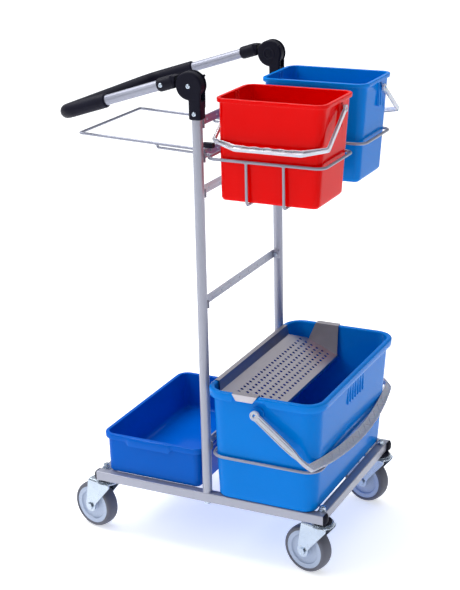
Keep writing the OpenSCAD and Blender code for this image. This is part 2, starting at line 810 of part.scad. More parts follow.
module drip_sieve() {
    rim_z = rest_z + large_h + seat_gap;
    slope = atan2(slope_z1 - slope_z2, slope_x2 - slope_x1);
    flange_x1 = 16;
    flange_x2 = 24.6;
    flange_half = 170;
    first_hole = 27.4;
    tab_x1 = 78;
    tab_x2 = 131;
    hook_h = 13;
    out = large_rim_y / 2 + 0.3;
    plate_top = out - 15;
    plate_z = (slope_z1 + slope_z2) / 2;
    lean = atan2(plate_top - sieve_half, rim_z - plate_z);
    rise = (rim_z + sieve_t - plate_z) / cos(lean);
    color(steel) placed() {
        // One bent sheet: flange on the rim, steep wall, slope and turned-down edge.
        difference() {
            intersection() {
                translate([0, 202, 0]) rotate([90, 0, 0]) linear_extrude(404)
                    polygon([[flange_x1, rim_z], [flange_x2, rim_z], [slope_x1, slope_z1],
                        [slope_x2, slope_z2], [slope_x2, slope_z2 - 6],
                        [slope_x2 + sieve_t, slope_z2 - 6],
                        [slope_x2 + sieve_t, slope_z2 + 0.8],
                        [slope_x1 + 1.3, slope_z1 + 0.8],
                        [flange_x2 + 1.3, rim_z + sieve_t], [flange_x1, rim_z + sieve_t]]);
                translate([0, 0, slope_z2 - 10]) linear_extrude(90)
                    polygon([[10, -flange_half], [26, -flange_half], [60, -sieve_half - 2],
                        [150, -sieve_half - 2], [150, sieve_half + 2], [60, sieve_half + 2],
                        [26, flange_half], [10, flange_half]]);
            }
            translate([slope_x1, 0, slope_z1]) rotate([0, slope, 0])
                for (i = [0 : sieve_cols - 1], j = [0 : sieve_rows - 1])
                    translate([first_hole + i * sieve_pitch,
                            (j - (sieve_rows - 1) / 2) * sieve_pitch, -2])
                        cylinder(d = sieve_hole, h = 6);
        }
        // Leaning end plates, tabs over the rim and their short hooks.
        for (side = [-1, 1]) mirror([0, side > 0 ? 0 : 1, 0]) {
            translate([0, sieve_half, plate_z]) rotate([-lean, 0, 0])
                translate([0, sieve_t, 0]) rotate([90, 0, 0]) linear_extrude(sieve_t)
                    polygon([[64, (slope_x1 - 64) * tan(slope) + slope_z1 - plate_z + 0.3],
                        [slope_x2, slope_z2 - plate_z + 0.3], [tab_x2, rise - 0.4],
                        [tab_x1, rise - 0.4]]);
            translate([tab_x1, plate_top, rim_z])
                cube([tab_x2 - tab_x1, out + sieve_t - plate_top, sieve_t]);
            translate([0, out + sieve_t, rim_z + sieve_t / 2]) rotate([90, 0, 0])
                linear_extrude(sieve_t)
                    polygon([[tab_x1, 0], [tab_x1 + 8, -hook_h], [tab_x2 - 10, -hook_h],
                        [tab_x2, 0]]);
        }
    }
}

module tray() {
    body_x = tray_rim_x - 2 * tray_overhang;
    body_y = tray_rim_y - 2 * tray_overhang;
    color(deep_blue) placed() translate([-tray_front - tray_rim_x / 2, 0, rest_z]) {
        container(tray_base_x, tray_base_y, body_x, body_y, tray_h, tray_base_corner,
            tray_corner - 6, 0);
        translate([0, 0, tray_h])
            rim(body_x, body_y, tray_corner - 6, tray_overhang, tray_lip);
    }
}

// ---------- casters ----------

// Casters 1 and 2 are at the bucket end, 1 and 3 on the near side.
function caster_pos(i) = [(i < 3 ? 1 : -1) * caster_x,
    (i % 2 == 1 ? -1 : 1) * (half_gap - caster_in), 0];

module at_caster(i) {
    placed() translate(caster_pos(i)) rotate([0, 0, caster_turn]) children();
}

module caster_stem_bolts() {
    head_top = crown_low - play - washer_t;
    color(zinc) for (i = [1 : 4]) at_caster(i) {
        translate([0, 0, head_top]) cylinder(r = 11, h = washer_t);
        translate([0, 0, head_top - hex_h]) cylinder(r = hex_r, h = hex_h, $fn = 6);
        translate([0, 0, head_top]) cylinder(d = stem_dia, h = stem_top + 2 - head_top);
    }
}

module caster_stem_nuts() {
    color(zinc) for (i = [1 : 4]) at_caster(i) difference() {
        union() {
            translate([0, 0, rail_top]) cylinder(r = 8.5, h = washer_t);
            translate([0, 0, rail_top + washer_t])
                cylinder(r = hex_r, h = stem_top - rail_top - washer_t, $fn = 6);
        }
        translate([0, 0, rail_top - 1]) cylinder(d = stem_dia + 0.1, h = 12);
    }
}

module caster_races() {
    low = crown_high + play;
    color(zinc) for (i = [1 : 4]) at_caster(i) rotate_extrude()
        polygon([[stem_dia / 2 + 0.1, crown_low - play], [sleeve_r, crown_low - play],
            [sleeve_r, low], [race_r, low], [race_r + 2, low + 2], [race_r, low + 4],
            [race_r - 3, rail_bottom], [stem_dia / 2 + 0.1, rail_bottom]]);
}

module fork(i) {
    leg = [[-38, crown_high], [20, crown_high], [crown_front, crown_low - 2], [-22, wheel_r + 2],
        [-27, wheel_r - 9], [-trail, wheel_r - 13], [-43, wheel_r - 10], [-48, wheel_r]];
    color(zinc) at_caster(i) difference() {
        union() {
            translate([0, 0, crown_low]) linear_extrude(crown_high - crown_low) {
                circle(r = race_r + 1);
                translate([-38, -fork_half - fork_t]) square([56, 2 * (fork_half + fork_t)]);
            }
            for (y = [-fork_half - fork_t, fork_half])
                translate([0, y + fork_t, 0]) rotate([90, 0, 0]) linear_extrude(fork_t)
                    polygon(leg);
        }
        translate([0, 0, crown_low - 1])
            cylinder(r = sleeve_r + run_gap, h = crown_high - crown_low + 2);
        translate([-trail, -fork_half - fork_t - 1, wheel_r])
            round_y(axle_dia / 2, 2 * (fork_half + fork_t) + 2);
    }
}

module axle_bolt(i) {
    half = fork_half + fork_t;
    color(zinc) at_caster(i) translate([-trail, 0, wheel_r]) {
        translate([0, -half, 0]) round_y(axle_dia / 2, 2 * half + 7);
        translate([0, -half - hex_h, 0]) hex_y(hex_r, hex_h);
        translate([0, half, 0]) hex_y(hex_r, hex_h + 1);
    }
}

module wheel_hub(i) {
    rim_r = wheel_r - tyre_depth;
    h = fork_half - 0.3;
    w = wheel_w / 2 - 1.5;
    bore = axle_dia / 2 + run_gap;
    color(hub_grey) at_caster(i) translate([-trail, 0, wheel_r]) rotate([90, 0, 0])
        rotate_extrude()
            polygon([[bore, -h], [11, -h], [13, -w + 3], [rim_r - 9, -w + 4], [rim_r - 6, -w],
                [rim_r, -w], [rim_r, w], [rim_r - 6, w], [rim_r - 9, w - 4], [13, w - 3],
                [11, h], [bore, h]]);
}

module tyre(i) {
    in_r = wheel_r - tyre_depth;
    w = wheel_w / 2;
    color(tyre_grey) at_caster(i) translate([-trail, 0, wheel_r]) rotate([90, 0, 0])
        rotate_extrude()
            polygon([[in_r, -w + 1], [in_r + 1.5, -w], [wheel_r - 5, -w], [wheel_r - 1.2, -w + 4],
                [wheel_r, -w + tread_edge], [wheel_r, w - tread_edge], [wheel_r - 1.2, w - 4], [wheel_r - 5, w],
                [in_r + 1.5, w], [in_r, w - 1]]);
}

// ---------- output ----------

side_rail(-1);  // side_rail_near
side_rail(1);  // side_rail_far
cross_member(-1);  // cross_member_handle_end
cross_member(1);  // cross_member_bucket_end
rail_end_caps();
post(-1);  // post_near
post(1);  // post_far
post_foot_screws();
cross_strip(strip_z1);  // cross_strip_bottom
cross_strip(strip_z2);  // cross_strip_lower
cross_strip(strip_z3);  // cross_strip_middle
cross_strip(strip_z4);  // cross_strip_holder
cross_strip(strip_z5);  // cross_strip_top
strip_screws();
bag_frame();
bag_frame_clips();
bucket_holder(-1);  // bucket_holder_near
bucket_holder(1);  // bucket_holder_far
large_bucket_hoop();
knuckle_body(-1);  // knuckle_body_near
knuckle_body(1);  // knuckle_body_far
knuckle_pivot_pins();
knuckle_post_screws();
handle_socket(-1);  // handle_socket_near
handle_socket(1);  // handle_socket_far
handle_socket_screws();
handle_tube();
handle_grip();
release_button(-1);  // release_button_near
release_button(1);  // release_button_far
small_bucket(-small_y, red);  // red_bucket
small_bail(-small_y, -1);  // red_bucket_bail
small_bucket(small_y, blue);  // blue_bucket
small_bail(small_y, 1);  // blue_bucket_bail
large_bucket();
large_bucket_bail();
drip_sieve();
tray();
caster_stem_bolts();
caster_stem_nuts();
caster_races();
fork(1);  // fork_1
fork(2);  // fork_2
fork(3);  // fork_3
fork(4);  // fork_4
axle_bolt(1);  // axle_bolt_1
axle_bolt(2);  // axle_bolt_2
axle_bolt(3);  // axle_bolt_3
axle_bolt(4);  // axle_bolt_4
wheel_hub(1);  // wheel_hub_1
wheel_hub(2);  // wheel_hub_2
wheel_hub(3);  // wheel_hub_3
wheel_hub(4);  // wheel_hub_4
tyre(1);  // tyre_1
tyre(2);  // tyre_2
tyre(3);  // tyre_3
tyre(4);  // tyre_4
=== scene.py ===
import math

import bmesh
import bpy
from mathutils import Matrix, Vector


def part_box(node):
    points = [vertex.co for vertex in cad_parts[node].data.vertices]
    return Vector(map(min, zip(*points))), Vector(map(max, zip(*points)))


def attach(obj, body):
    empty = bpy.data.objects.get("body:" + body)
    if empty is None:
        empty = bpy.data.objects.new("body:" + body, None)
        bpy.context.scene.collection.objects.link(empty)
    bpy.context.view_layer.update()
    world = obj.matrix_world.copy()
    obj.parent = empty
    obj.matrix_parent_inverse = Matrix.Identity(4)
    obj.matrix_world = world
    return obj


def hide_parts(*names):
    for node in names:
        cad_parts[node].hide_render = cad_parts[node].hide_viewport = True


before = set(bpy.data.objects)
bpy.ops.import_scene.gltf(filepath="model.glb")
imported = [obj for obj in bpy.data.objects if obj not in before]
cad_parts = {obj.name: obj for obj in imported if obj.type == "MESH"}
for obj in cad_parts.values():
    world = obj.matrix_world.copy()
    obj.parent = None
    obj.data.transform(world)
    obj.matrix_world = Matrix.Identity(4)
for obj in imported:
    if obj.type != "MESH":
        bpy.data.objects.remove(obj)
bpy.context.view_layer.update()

# ---------------------------------------------------------------- places
# The CAD source's own measures, in millimetres: x from the post axis, y from the middle, z from the floor.
MM = 0.001
post_lo, post_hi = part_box("post_near")
POST_X = (post_lo.x + post_hi.x) / 2
HALF_GAP = 184.0  # from the middle to a side rail, a post and a handle arm
RAIL_TOP = 143.0
REST_Z = 143.3  # the large bucket and the tray stand just clear of the rails
SIDES = (("near", -1), ("far", 1))


def P(x, y, z):
    """A point of the cart in metres, from millimetres counted from the post axis."""
    return Vector((x * MM + POST_X, y * MM, z * MM))


# ---------------------------------------------------------------- materials
def new_material(name, color, rough, metal=0.0, coat=0.0, coat_rough=0.1, transmission=0.0,
                 subsurface=0.0, spread=0.06, rough_spread=0.08, grain=400.0, bump=0.02,
                 stretch=(1, 1, 1), blotch=9.0, edge_highlight=0.0, edge_highlight_color=None, specular=0.5):
    """Procedural finish: blotchy colour, changing roughness, a fine grain in the bump and, if asked, a
    painted highlight on sharp edges.
    """
    mat = bpy.data.materials.new(name)
    mat.use_nodes = True
    tree = mat.node_tree
    nodes, links = tree.nodes, tree.links
    shader = nodes["Principled BSDF"]
    shader.inputs["Metallic"].default_value = metal
    shader.inputs["Coat Weight"].default_value = coat
    shader.inputs["Coat Roughness"].default_value = coat_rough
    shader.inputs["Transmission Weight"].default_value = transmission
    shader.inputs["Subsurface Weight"].default_value = subsurface
    shader.inputs["Subsurface Scale"].default_value = 0.004
    shader.inputs["Specular IOR Level"].default_value = specular
    coords = nodes.new("ShaderNodeTexCoord")
    mapping = nodes.new("ShaderNodeMapping")
    mapping.inputs["Scale"].default_value = stretch
    links.new(coords.outputs["Object"], mapping.inputs["Vector"])
    broad = nodes.new("ShaderNodeTexNoise")
    broad.inputs["Scale"].default_value = blotch
    broad.inputs["Detail"].default_value = 4.0
    links.new(mapping.outputs["Vector"], broad.inputs["Vector"])
    fine = nodes.new("ShaderNodeTexNoise")
    fine.inputs["Scale"].default_value = grain
    fine.inputs["Detail"].default_value = 3.0
    links.new(mapping.outputs["Vector"], fine.inputs["Vector"])
    ramp = nodes.new("ShaderNodeValToRGB")
    ramp.color_ramp.elements[0].position = 0.3
    ramp.color_ramp.elements[1].position = 0.7
    ramp.color_ramp.elements[0].color = (*[c * (1 - spread) for c in color], 1)
    ramp.color_ramp.elements[1].color = (*[min(1.0, c * (1 + spread)) for c in color], 1)
    links.new(broad.outputs["Fac"], ramp.inputs["Fac"])
    tint = ramp.outputs["Color"]
    # Sharp edges, picked by pointiness, are mixed towards a lighter colour: a painted highlight along rims,
    # lips and ridges.
    if edge_highlight > 0:
        edge = nodes.new("ShaderNodeNewGeometry")
        edge_highlight_mask = nodes.new("ShaderNodeMapRange")
        edge_highlight_mask.inputs["From Min"].default_value = 0.52
        edge_highlight_mask.inputs["From Max"].default_value = 0.60
        edge_highlight_mask.inputs["To Max"].default_value = edge_highlight
        links.new(edge.outputs["Pointiness"], edge_highlight_mask.inputs["Value"])
        mix = nodes.new("ShaderNodeMix")
        mix.data_type = "RGBA"
        mix.inputs["B"].default_value = (*edge_highlight_color, 1)
        links.new(edge_highlight_mask.outputs["Result"], mix.inputs["Factor"])
        links.new(tint, mix.inputs["A"])
        tint = mix.outputs["Result"]
    links.new(tint, shader.inputs["Base Color"])
    rough_map = nodes.new("ShaderNodeMapRange")
    rough_map.inputs["From Min"].default_value = 0.3
    rough_map.inputs["From Max"].default_value = 0.7
    rough_map.inputs["To Min"].default_value = max(0.02, rough - rough_spread)
    rough_map.inputs["To Max"].default_value = rough + rough_spread
    links.new(fine.outputs["Fac"], rough_map.inputs["Value"])
    links.new(rough_map.outputs["Result"], shader.inputs["Roughness"])
    lift = nodes.new("ShaderNodeBump")
    lift.inputs["Strength"].default_value = bump
    lift.inputs["Distance"].default_value = 0.0002
    links.new(fine.outputs["Fac"], lift.inputs["Height"])
    links.new(lift.outputs["Normal"], shader.inputs["Normal"])
    return mat


MATS = {
    "silver_coating": new_material("silver_coating", (0.26, 0.275, 0.35), 0.40, metal=0.45, coat=0.25,
                                   coat_rough=0.25, grain=900, bump=0.25, spread=0.05, edge_highlight=0.25,
                                   edge_highlight_color=(0.62, 0.62, 0.68)),
    "black_plastic": new_material("black_plastic", (0.005, 0.005, 0.014), 0.5, grain=1500, bump=0.35,
                                  spread=0.25, rough_spread=0.1, edge_highlight=0.25,
                                  edge_highlight_color=(0.035, 0.035, 0.06), specular=0.12),
    "zinc_plate": new_material("zinc_plate", (0.46, 0.53, 0.62), 0.24, metal=0.9, coat=0.2, grain=500,
                               bump=0.08, spread=0.05, blotch=30, rough_spread=0.1),
    "stainless_sheet": new_material("stainless_sheet", (0.44, 0.42, 0.46), 0.36, metal=1.0, grain=900,
                                    bump=0.05, spread=0.05, stretch=(1, 0.03, 1), blotch=40,
                                    rough_spread=0.08),
    "red_plastic": new_material("red_plastic", (0.8, 0.0, 0.0), 0.15, grain=260, bump=0.03,
                                spread=0.03, rough_spread=0.03, edge_highlight=0.3,
                                edge_highlight_color=(0.95, 0.10, 0.10), specular=0.03, coat=0.1),
    "blue_plastic": new_material("blue_plastic", (0.0, 0.20, 0.70), 0.14, grain=260, bump=0.03,
                                 spread=0.03, rough_spread=0.03, edge_highlight=0.3,
                                 edge_highlight_color=(0.08, 0.40, 0.92), specular=0.03, coat=0.1),
    "deep_blue_plastic": new_material("deep_blue_plastic", (0.0, 0.11, 0.55), 0.14, grain=260,
                                      bump=0.03, spread=0.04, rough_spread=0.03, edge_highlight=0.3,
                                      edge_highlight_color=(0.06, 0.28, 0.85), specular=0.03, coat=0.1),
    "clear_grey_plastic": new_material("clear_grey_plastic", (0.56, 0.59, 0.68), 0.24, coat=0.15,
                                       transmission=0.1, subsurface=0.15, grain=350, bump=0.08,
                                       spread=0.06, rough_spread=0.05, edge_highlight=0.3,
                                       edge_highlight_color=(0.6, 0.64, 0.72)),
    "hub_plastic": new_material("hub_plastic", (0.42, 0.50, 0.66), 0.3, grain=500, bump=0.06,
                                spread=0.05, rough_spread=0.06),
    "grey_tyre": new_material("grey_tyre", (0.12, 0.125, 0.16), 0.55, grain=900, bump=0.3, spread=0.16,
                              rough_spread=0.1, specular=0.3),
}


# ---------------------------------------------------------------- mesh helpers
def obj_from(name, bm, mat, angle=32):
    """An object from a bmesh, smooth except across edges sharper than the angle."""
    bmesh.ops.remove_doubles(bm, verts=bm.verts, dist=1e-6)
    bmesh.ops.recalc_face_normals(bm, faces=bm.faces)
    mesh = bpy.data.meshes.new(name)
    bm.to_mesh(mesh)
    bm.free()
    finish_mesh(mesh, angle)
    obj = bpy.data.objects.new(name, mesh)
    bpy.context.scene.collection.objects.link(obj)
    mesh.materials.append(mat)
    return obj


def finish_mesh(mesh, angle):
    mesh.polygons.foreach_set("use_smooth", [True] * len(mesh.polygons))
    mesh.set_sharp_from_angle(angle=math.radians(angle))


def bevel(obj, width, angle):
    """Edges sharper than the angle get a small round."""
    mod = obj.modifiers.new("edges", "BEVEL")
    mod.width = width * MM
    mod.segments = 2
    mod.limit_method = "ANGLE"
    mod.angle_limit = math.radians(angle)
    mod.harden_normals = True


def solid(obj, thickness):
    """The open sheet gets its thickness, on the inner side."""
    mod = obj.modifiers.new("sheet", "SOLIDIFY")
    mod.thickness = thickness * MM
    mod.offset = -1.0
    mod.use_even_offset = True


def baked(obj, mat, angle):
    """The object with its modifiers applied."""
    graph = bpy.context.evaluated_depsgraph_get()
    mesh = bpy.data.meshes.new_from_object(obj.evaluated_get(graph))
    obj.modifiers.clear()
    old = obj.data
    obj.data = mesh
    bpy.data.meshes.remove(old)
    mesh.materials.clear()
    mesh.materials.append(mat)
    finish_mesh(mesh, angle)
    return obj


def place(obj, body, slot, *nodes):
    """The piece rides on the body and stands for the CAD nodes. The slot is not used."""
    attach(obj, body)
    if nodes:
        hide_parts(*nodes)


def rings_to_mesh(bm, rings, capped=True):
    """Quads between rings of points, each ring with the same number of points."""
    made = [[bm.verts.new(p) for p in ring] for ring in rings]
    for a, b in zip(made, made[1:]):
        n = len(a)
        for i in range(n):
            j = (i + 1) % n
            bm.faces.new((a[i], a[j], b[j], b[i]))
    if capped:
        bm.faces.new(list(reversed(made[0])))
        bm.faces.new(made[-1])


def turned_rings(profile, matrix, steps):
    """One ring of points round the matrix's Z axis for each (radius, height) pair in mm."""
    return [[matrix @ Vector((r * MM * math.cos(math.tau * i / steps),
                              r * MM * math.sin(math.tau * i / steps), h * MM))
             for i in range(steps)] for r, h in profile]


def lathe(bm, profile, matrix, steps):
    """Turned solid with a flat face at both ends of its profile."""
    rings_to_mesh(bm, turned_rings([(max(r, 0.0005), h) for r, h in profile], matrix, steps))


def lathe_ring(bm, profile, matrix, steps):
    """Turned solid with an open bore: the profile runs once round the section."""
    rings_to_mesh(bm, turned_rings(profile + profile[:1], matrix, steps), capped=False)


def prism(bm, outline, matrix, low, high):
    """Straight solid on an outline of (x, y) pairs in mm, from low to high along the matrix's Z."""
    rings = [[matrix @ Vector((x * MM, y * MM, h * MM)) for x, y in outline] for h in (low, high)]
    rings_to_mesh(bm, rings)


def rounded(outline, radius, steps=5):
    """The outline with its corners rounded; radius is a number or one number per corner."""
    out = []
    n = len(outline)
    for i in range(n):
        r = radius[i] if isinstance(radius, (list, tuple)) else radius
        b = Vector(outline[i])
        a, c = Vector(outline[i - 1]), Vector(outline[(i + 1) % n])
        u, w = (a - b), (c - b)
        reach = min(u.length, w.length) * 0.49
        u.normalize()
        w.normalize()
        half = u.angle(w) / 2
        if r <= 0 or half > 1.55:
            out.append(tuple(b))
            continue
        cut = min(r / math.tan(half), reach)
        r = cut * math.tan(half)
        centre = b + (u + w).normalized() * (r / math.sin(half))
        p, q = b + u * cut - centre, b + w * cut - centre
        turn = p.angle_signed(q)
        for k in range(steps + 1):
            t = -turn * k / steps
            out.append((centre.x + p.x * math.cos(t) - p.y * math.sin(t),
                        centre.y + p.x * math.sin(t) + p.y * math.cos(t)))
    return out


def rounded_path(points, bend, steps=8):
    """Centre line through the points with round bends, as metres."""
    out = [points[0]]
    for a, b, c in zip(points, points[1:], points[2:]):
        u, w = (a - b), (c - b)
        reach = min(u.length, w.length) * 0.499
        u.normalize()
        w.normalize()
        half = u.angle(w) / 2
        cut = min(bend * MM / math.tan(half), reach)
        r = cut * math.tan(half)
        centre = b + (u + w).normalized() * (r / math.sin(half))
        p, q = b + u * cut - centre, b + w * cut - centre
        turn = p.angle(q)
        for k in range(steps + 1):
            t = k / steps
            s = (math.sin((1 - t) * turn) * p + math.sin(t * turn) * q) / math.sin(turn)
            out.append(centre + s)
    out.append(points[-1])
    return out


def sweep(bm, path, radius, steps=20, loop=False):
    """Round bar along a path in metres. radius is in mm, a number or a function of 0 to 1 along it."""
    n = len(path)
    along = [0.0]
    for a, b in zip(path, path[1:]):
        along.append(along[-1] + (b - a).length)
    rings = []
    normal = None
    for i, p in enumerate(path):
        if loop:
            tangent = (path[(i + 1) % n] - path[i - 1]).normalized()
        else:
            tangent = (path[min(i + 1, n - 1)] - path[max(i - 1, 0)]).normalized()
        if normal is None:
            normal = tangent.orthogonal().normalized()
        normal = (normal - tangent * normal.dot(tangent)).normalized()
        side = tangent.cross(normal)
        r = (radius(along[i] / along[-1]) if callable(radius) else radius) * MM
        rings.append([p + (normal * math.cos(2 * math.pi * k / steps)
                           + side * math.sin(2 * math.pi * k / steps)) * r for k in range(steps)])
    if loop:
        made = [[bm.verts.new(p) for p in ring] for ring in rings]
        first = made[0]
        last = made[-1]
        # the last ring joins the first one with as little twist as possible
        shift = min(range(steps), key=lambda s: sum((first[(k + s) % steps].co - last[k].co).length
                                                    for k in range(0, steps, 4)))
        for a, b in zip(made, made[1:]):
            for k in range(steps):
                j = (k + 1) % steps
                bm.faces.new((a[k], a[j], b[j], b[k]))
        for k in range(steps):
            j = (k + 1) % steps
            bm.faces.new((last[k], last[j], first[(j + shift) % steps], first[(k + shift) % steps]))
    else:
        rings_to_mesh(bm, rings)


def bead(bm, centre, radius, stretch=(1, 1, 1)):
    """Small weld bead."""
    made = bmesh.ops.create_icosphere(bm, subdivisions=3, radius=radius * MM)
    for vert in made["verts"]:
        vert.co = centre + Vector((vert.co.x * stretch[0], vert.co.y * stretch[1],
                                   vert.co.z * stretch[2]))


AXIS_X = Matrix.Rotation(math.radians(90), 4, "Y")
AXIS_Y = Matrix.Rotation(math.radians(-90), 4, "X")


# ---------------------------------------------------------------- containers
def ring_points(cx, cy, hx, hy, r, z, corner=9, side=10):
    """Points of a rounded rectangle at height z, in mm, the same number whatever its size."""
    pts = []
    spots = [(1, -1, -90), (1, 1, 0), (-1, 1, 90), (-1, -1, 180)]
    for k, (sx, sy, a0) in enumerate(spots):
        for i in range(corner + 1):
            a = math.radians(a0 + 90 * i / corner)
            pts.append((cx + sx * (hx - r) + r * math.cos(a), cy + sy * (hy - r) + r * math.sin(a), z))
        nx, ny, a1 = spots[(k + 1) % 4]
        a = math.radians(a1)
        end = (cx + nx * (hx - r) + r * math.cos(a), cy + ny * (hy - r) + r * math.sin(a))
        start = pts[-1]
        for i in range(1, side):
            t = i / side
            pts.append((start[0] + (end[0] - start[0]) * t, start[1] + (end[1] - start[1]) * t, z))
    return pts


def container(name, mat, centre, base, top, height, base_r, top_r, lip, overhang, roll,
              shift=0.0, change=None, extra=None, side=24):
    """Moulded open container. base and top are half sizes of the body; the lip turns out and down."""
    cx, cy, z0 = centre
    foot, wall = 1.2, 2.5

    def half(z):
        t = min(1.0, max(0.0, z / height))
        return [base[0] + (top[0] - base[0]) * t, base[1] + (top[1] - base[1]) * t,
                base_r + (top_r - base_r) * t]

    profile = []  # (offset of the half sizes, height, tag)
    for inset, z in ((30, foot + 0.3), (14, foot + 0.3), (7.4, foot), (6.6, 0.2), (6, 0), (4.2, 0),
                     (3.0, 0.4), (2.3, 1.4), (2.1, 2.8), (1.9, 3.3), (0.5, 3.9), (0.1, 4.6), (0, 6)):
        profile.append((-inset, z, "out"))
    under = height - wall
    for t in (0.12, 0.25, 0.4, 0.55, 0.7, 0.8, 0.9):
        profile.append((0, under * t, "out"))
    profile += [(0, under - 1.5, "out"), (0.5, under - 0.4, "lip"), (1.6, under, "lip"),
                (overhang - wall - 1, under, "lip"), (overhang - wall, under - 1, "lip")]
    low = height - lip
    profile += [(overhang - wall, low + 1, "skirt"), (overhang - wall + 0.5, low + 0.2, "skirt"),
                (overhang - wall / 2, low, "skirt"), (overhang - 0.5, low + 0.2, "skirt"),
                (overhang, low + 1.2, "skirt"), (overhang, low + lip * 0.45, "lip")]
    for k in range(7):  # rolled shoulder of the lip
        a = math.radians(90 * k / 6)
        profile.append((overhang - roll + roll * math.cos(a), height - roll + roll * math.sin(a), "lip"))
    inner = min(roll, overhang + wall - roll) * 0.8
    for k in range(6):
        a = math.radians(90 * k / 5)
        profile.append((-wall + inner - inner * math.sin(a), height - inner + inner * math.cos(a), "in"))
    depth = height - inner
    for t in (0.86, 0.7, 0.55, 0.4, 0.25, 0.14):
        profile.append((-wall, wall + (depth - wall) * t, "in"))
    for inset, z in ((0, 9), (0.5, 6), (1.6, 4), (3.4, 2.2), (6, 1.0), (9, 0.4), (14, 0.2), (34, 0.0)):
        profile.append((-wall - inset, wall + z, "in"))
    rings = []
    for off, z, tag in profile:
        hx, hy, r = half(z)
        lean = shift * (1 - min(1.0, max(0.0, z / height)))
        ring = ring_points(cx - lean, cy, hx + off, hy + off, max(3.0, r + off), z0 + z, side=side)
        if change:
            ring = [change(p, off, z, tag) for p in ring]
        rings.append([P(*p) for p in ring])
    bm = bmesh.new()
    rings_to_mesh(bm, rings)
    if extra:
        extra(bm)
    obj = obj_from(name, bm, MATS[mat], angle=38)
    place(obj, name, mat, name)


def block(bm, lo, hi, r):
    """Box between two corners in mm, with its upright edges rounded."""
    outline = rounded([(lo[0], lo[1]), (hi[0], lo[1]), (hi[0], hi[1]), (lo[0], hi[1])], r, 4)
    prism(bm, outline, Matrix.Translation(P(0, 0, 0)), lo[2], hi[2])


def smooth_step(t):
    t = min(1.0, max(0.0, t))
    return t * t * (3 - 2 * t)


# small buckets
SMALL_X, SMALL_Y, SMALL_Z, SMALL_H = 144.0, 105.0, 759.2, 197.4
SMALL_PIVOT = (15.0, 176.8)  # of the bail: off the middle of the bucket, above its foot


def small_bucket(name, y, mat):
    def lugs(bm):
        """Pivot pin and two short ribs under the lip, at both ends of the bucket."""
        for end in (-1, 1):
            face = SMALL_X + end * 106.2 - 0.7
            top = SMALL_Z + SMALL_H - 3
            for dy, w in ((-6.5, 5.0), (4.5, 5.5)):
                lo_x, hi_x = sorted((face - end * 4, face + end * 3.2))
                block(bm, (lo_x, y + SMALL_PIVOT[0] + dy - w / 2, top - 54),
                      (hi_x, y + SMALL_PIVOT[0] + dy + w / 2, top), 1.2)
            lathe(bm, [(8.2, 0), (8.2, 4.6), (7.4, 5.6), (3.0, 5.9), (2.9, 12.4), (2.2, 13.2), (0, 13.3)],
                  Matrix.Translation(P(SMALL_X + end * 104.3, y + SMALL_PIVOT[0], SMALL_Z + SMALL_PIVOT[1]))
                  @ Matrix.Rotation(math.radians(90 * end), 4, "Y"), steps=40)

    container(name, mat, (SMALL_X, y, SMALL_Z), base=(100, 66), top=(107.5, 72.5), height=SMALL_H,
              base_r=12, top_r=18, lip=8, overhang=5, roll=1.6, shift=7.5, extra=lugs)


small_bucket("red_bucket", -SMALL_Y, "red_plastic")
small_bucket("blue_bucket", SMALL_Y, "blue_plastic")

# large bucket
LARGE_X, LARGE_H = 137.0, 242.0
LARGE_PIVOT_X, LARGE_PIVOT_Z = 128.0, 350.0


def large_lip(p, off, z, tag):
    """The lip is cut back above the bail pivots and where the sieve hooks over it."""
    x, y, h = p
    if tag in ("lip", "skirt") and z < LARGE_H - 2.4 and off > 0 and abs(y) > 195:
        near = smooth_step((38 - abs(x - 113)) / 3)
        h += near * (LARGE_H - 4.5 - z) * 0.62
    return (x, y, h)


def large_extra(bm):
    """Pivot pins of the bail and the stacking ribs."""
    for side in (-1, 1):
        lathe(bm, [(13, 0), (13, 3.4), (12.2, 4.4), (4.2, 4.6), (4.1, 17.5), (3.4, 18.4), (0, 18.5)],
              Matrix.Translation(P(LARGE_PIVOT_X, side * 208.6, LARGE_PIVOT_Z))
              @ Matrix.Rotation(math.radians(-90 * side), 4, "X"), steps=56)
    for i in range(7):  # stacking ribs under the lip
        y = -42 + i * 14
        block(bm, (LARGE_X + 111.4, y - 1.6, REST_Z + 178), (LARGE_X + 115.0, y + 1.6, REST_Z + 236), 0.8)


container("large_bucket", "blue_plastic", (LARGE_X, 0, REST_Z), base=(107, 194), top=(116, 212),
          height=LARGE_H, base_r=26, top_r=33, lip=17, overhang=9, roll=4.5, shift=7.0,
          change=large_lip, extra=large_extra, side=48)

# tray
TRAY_X, TRAY_H = -10.5 - 235.5 / 2, 88.0


def tray_lip(p, off, z, tag):
    """Deeper, prouder part of the lip in the middle of both short sides, to lift the tray by."""
    x, y, h = p
    if tag in ("lip", "skirt") and off > 1 and abs(y) > 150:
        t = smooth_step((54 - abs(x - TRAY_X + 6)) / 6)
        y += math.copysign(3.0 * t * min(1.0, (TRAY_H - z) / 4), y)
        if tag == "skirt":
            h -= 7 * t
    return (x, y, h)


container("tray", "deep_blue_plastic", (TRAY_X, 0, REST_Z), base=(107.5, 179), top=(111.75, 179),
          height=TRAY_H, base_r=14, top_r=20, lip=12, overhang=6, roll=2.6, change=tray_lip, side=48)


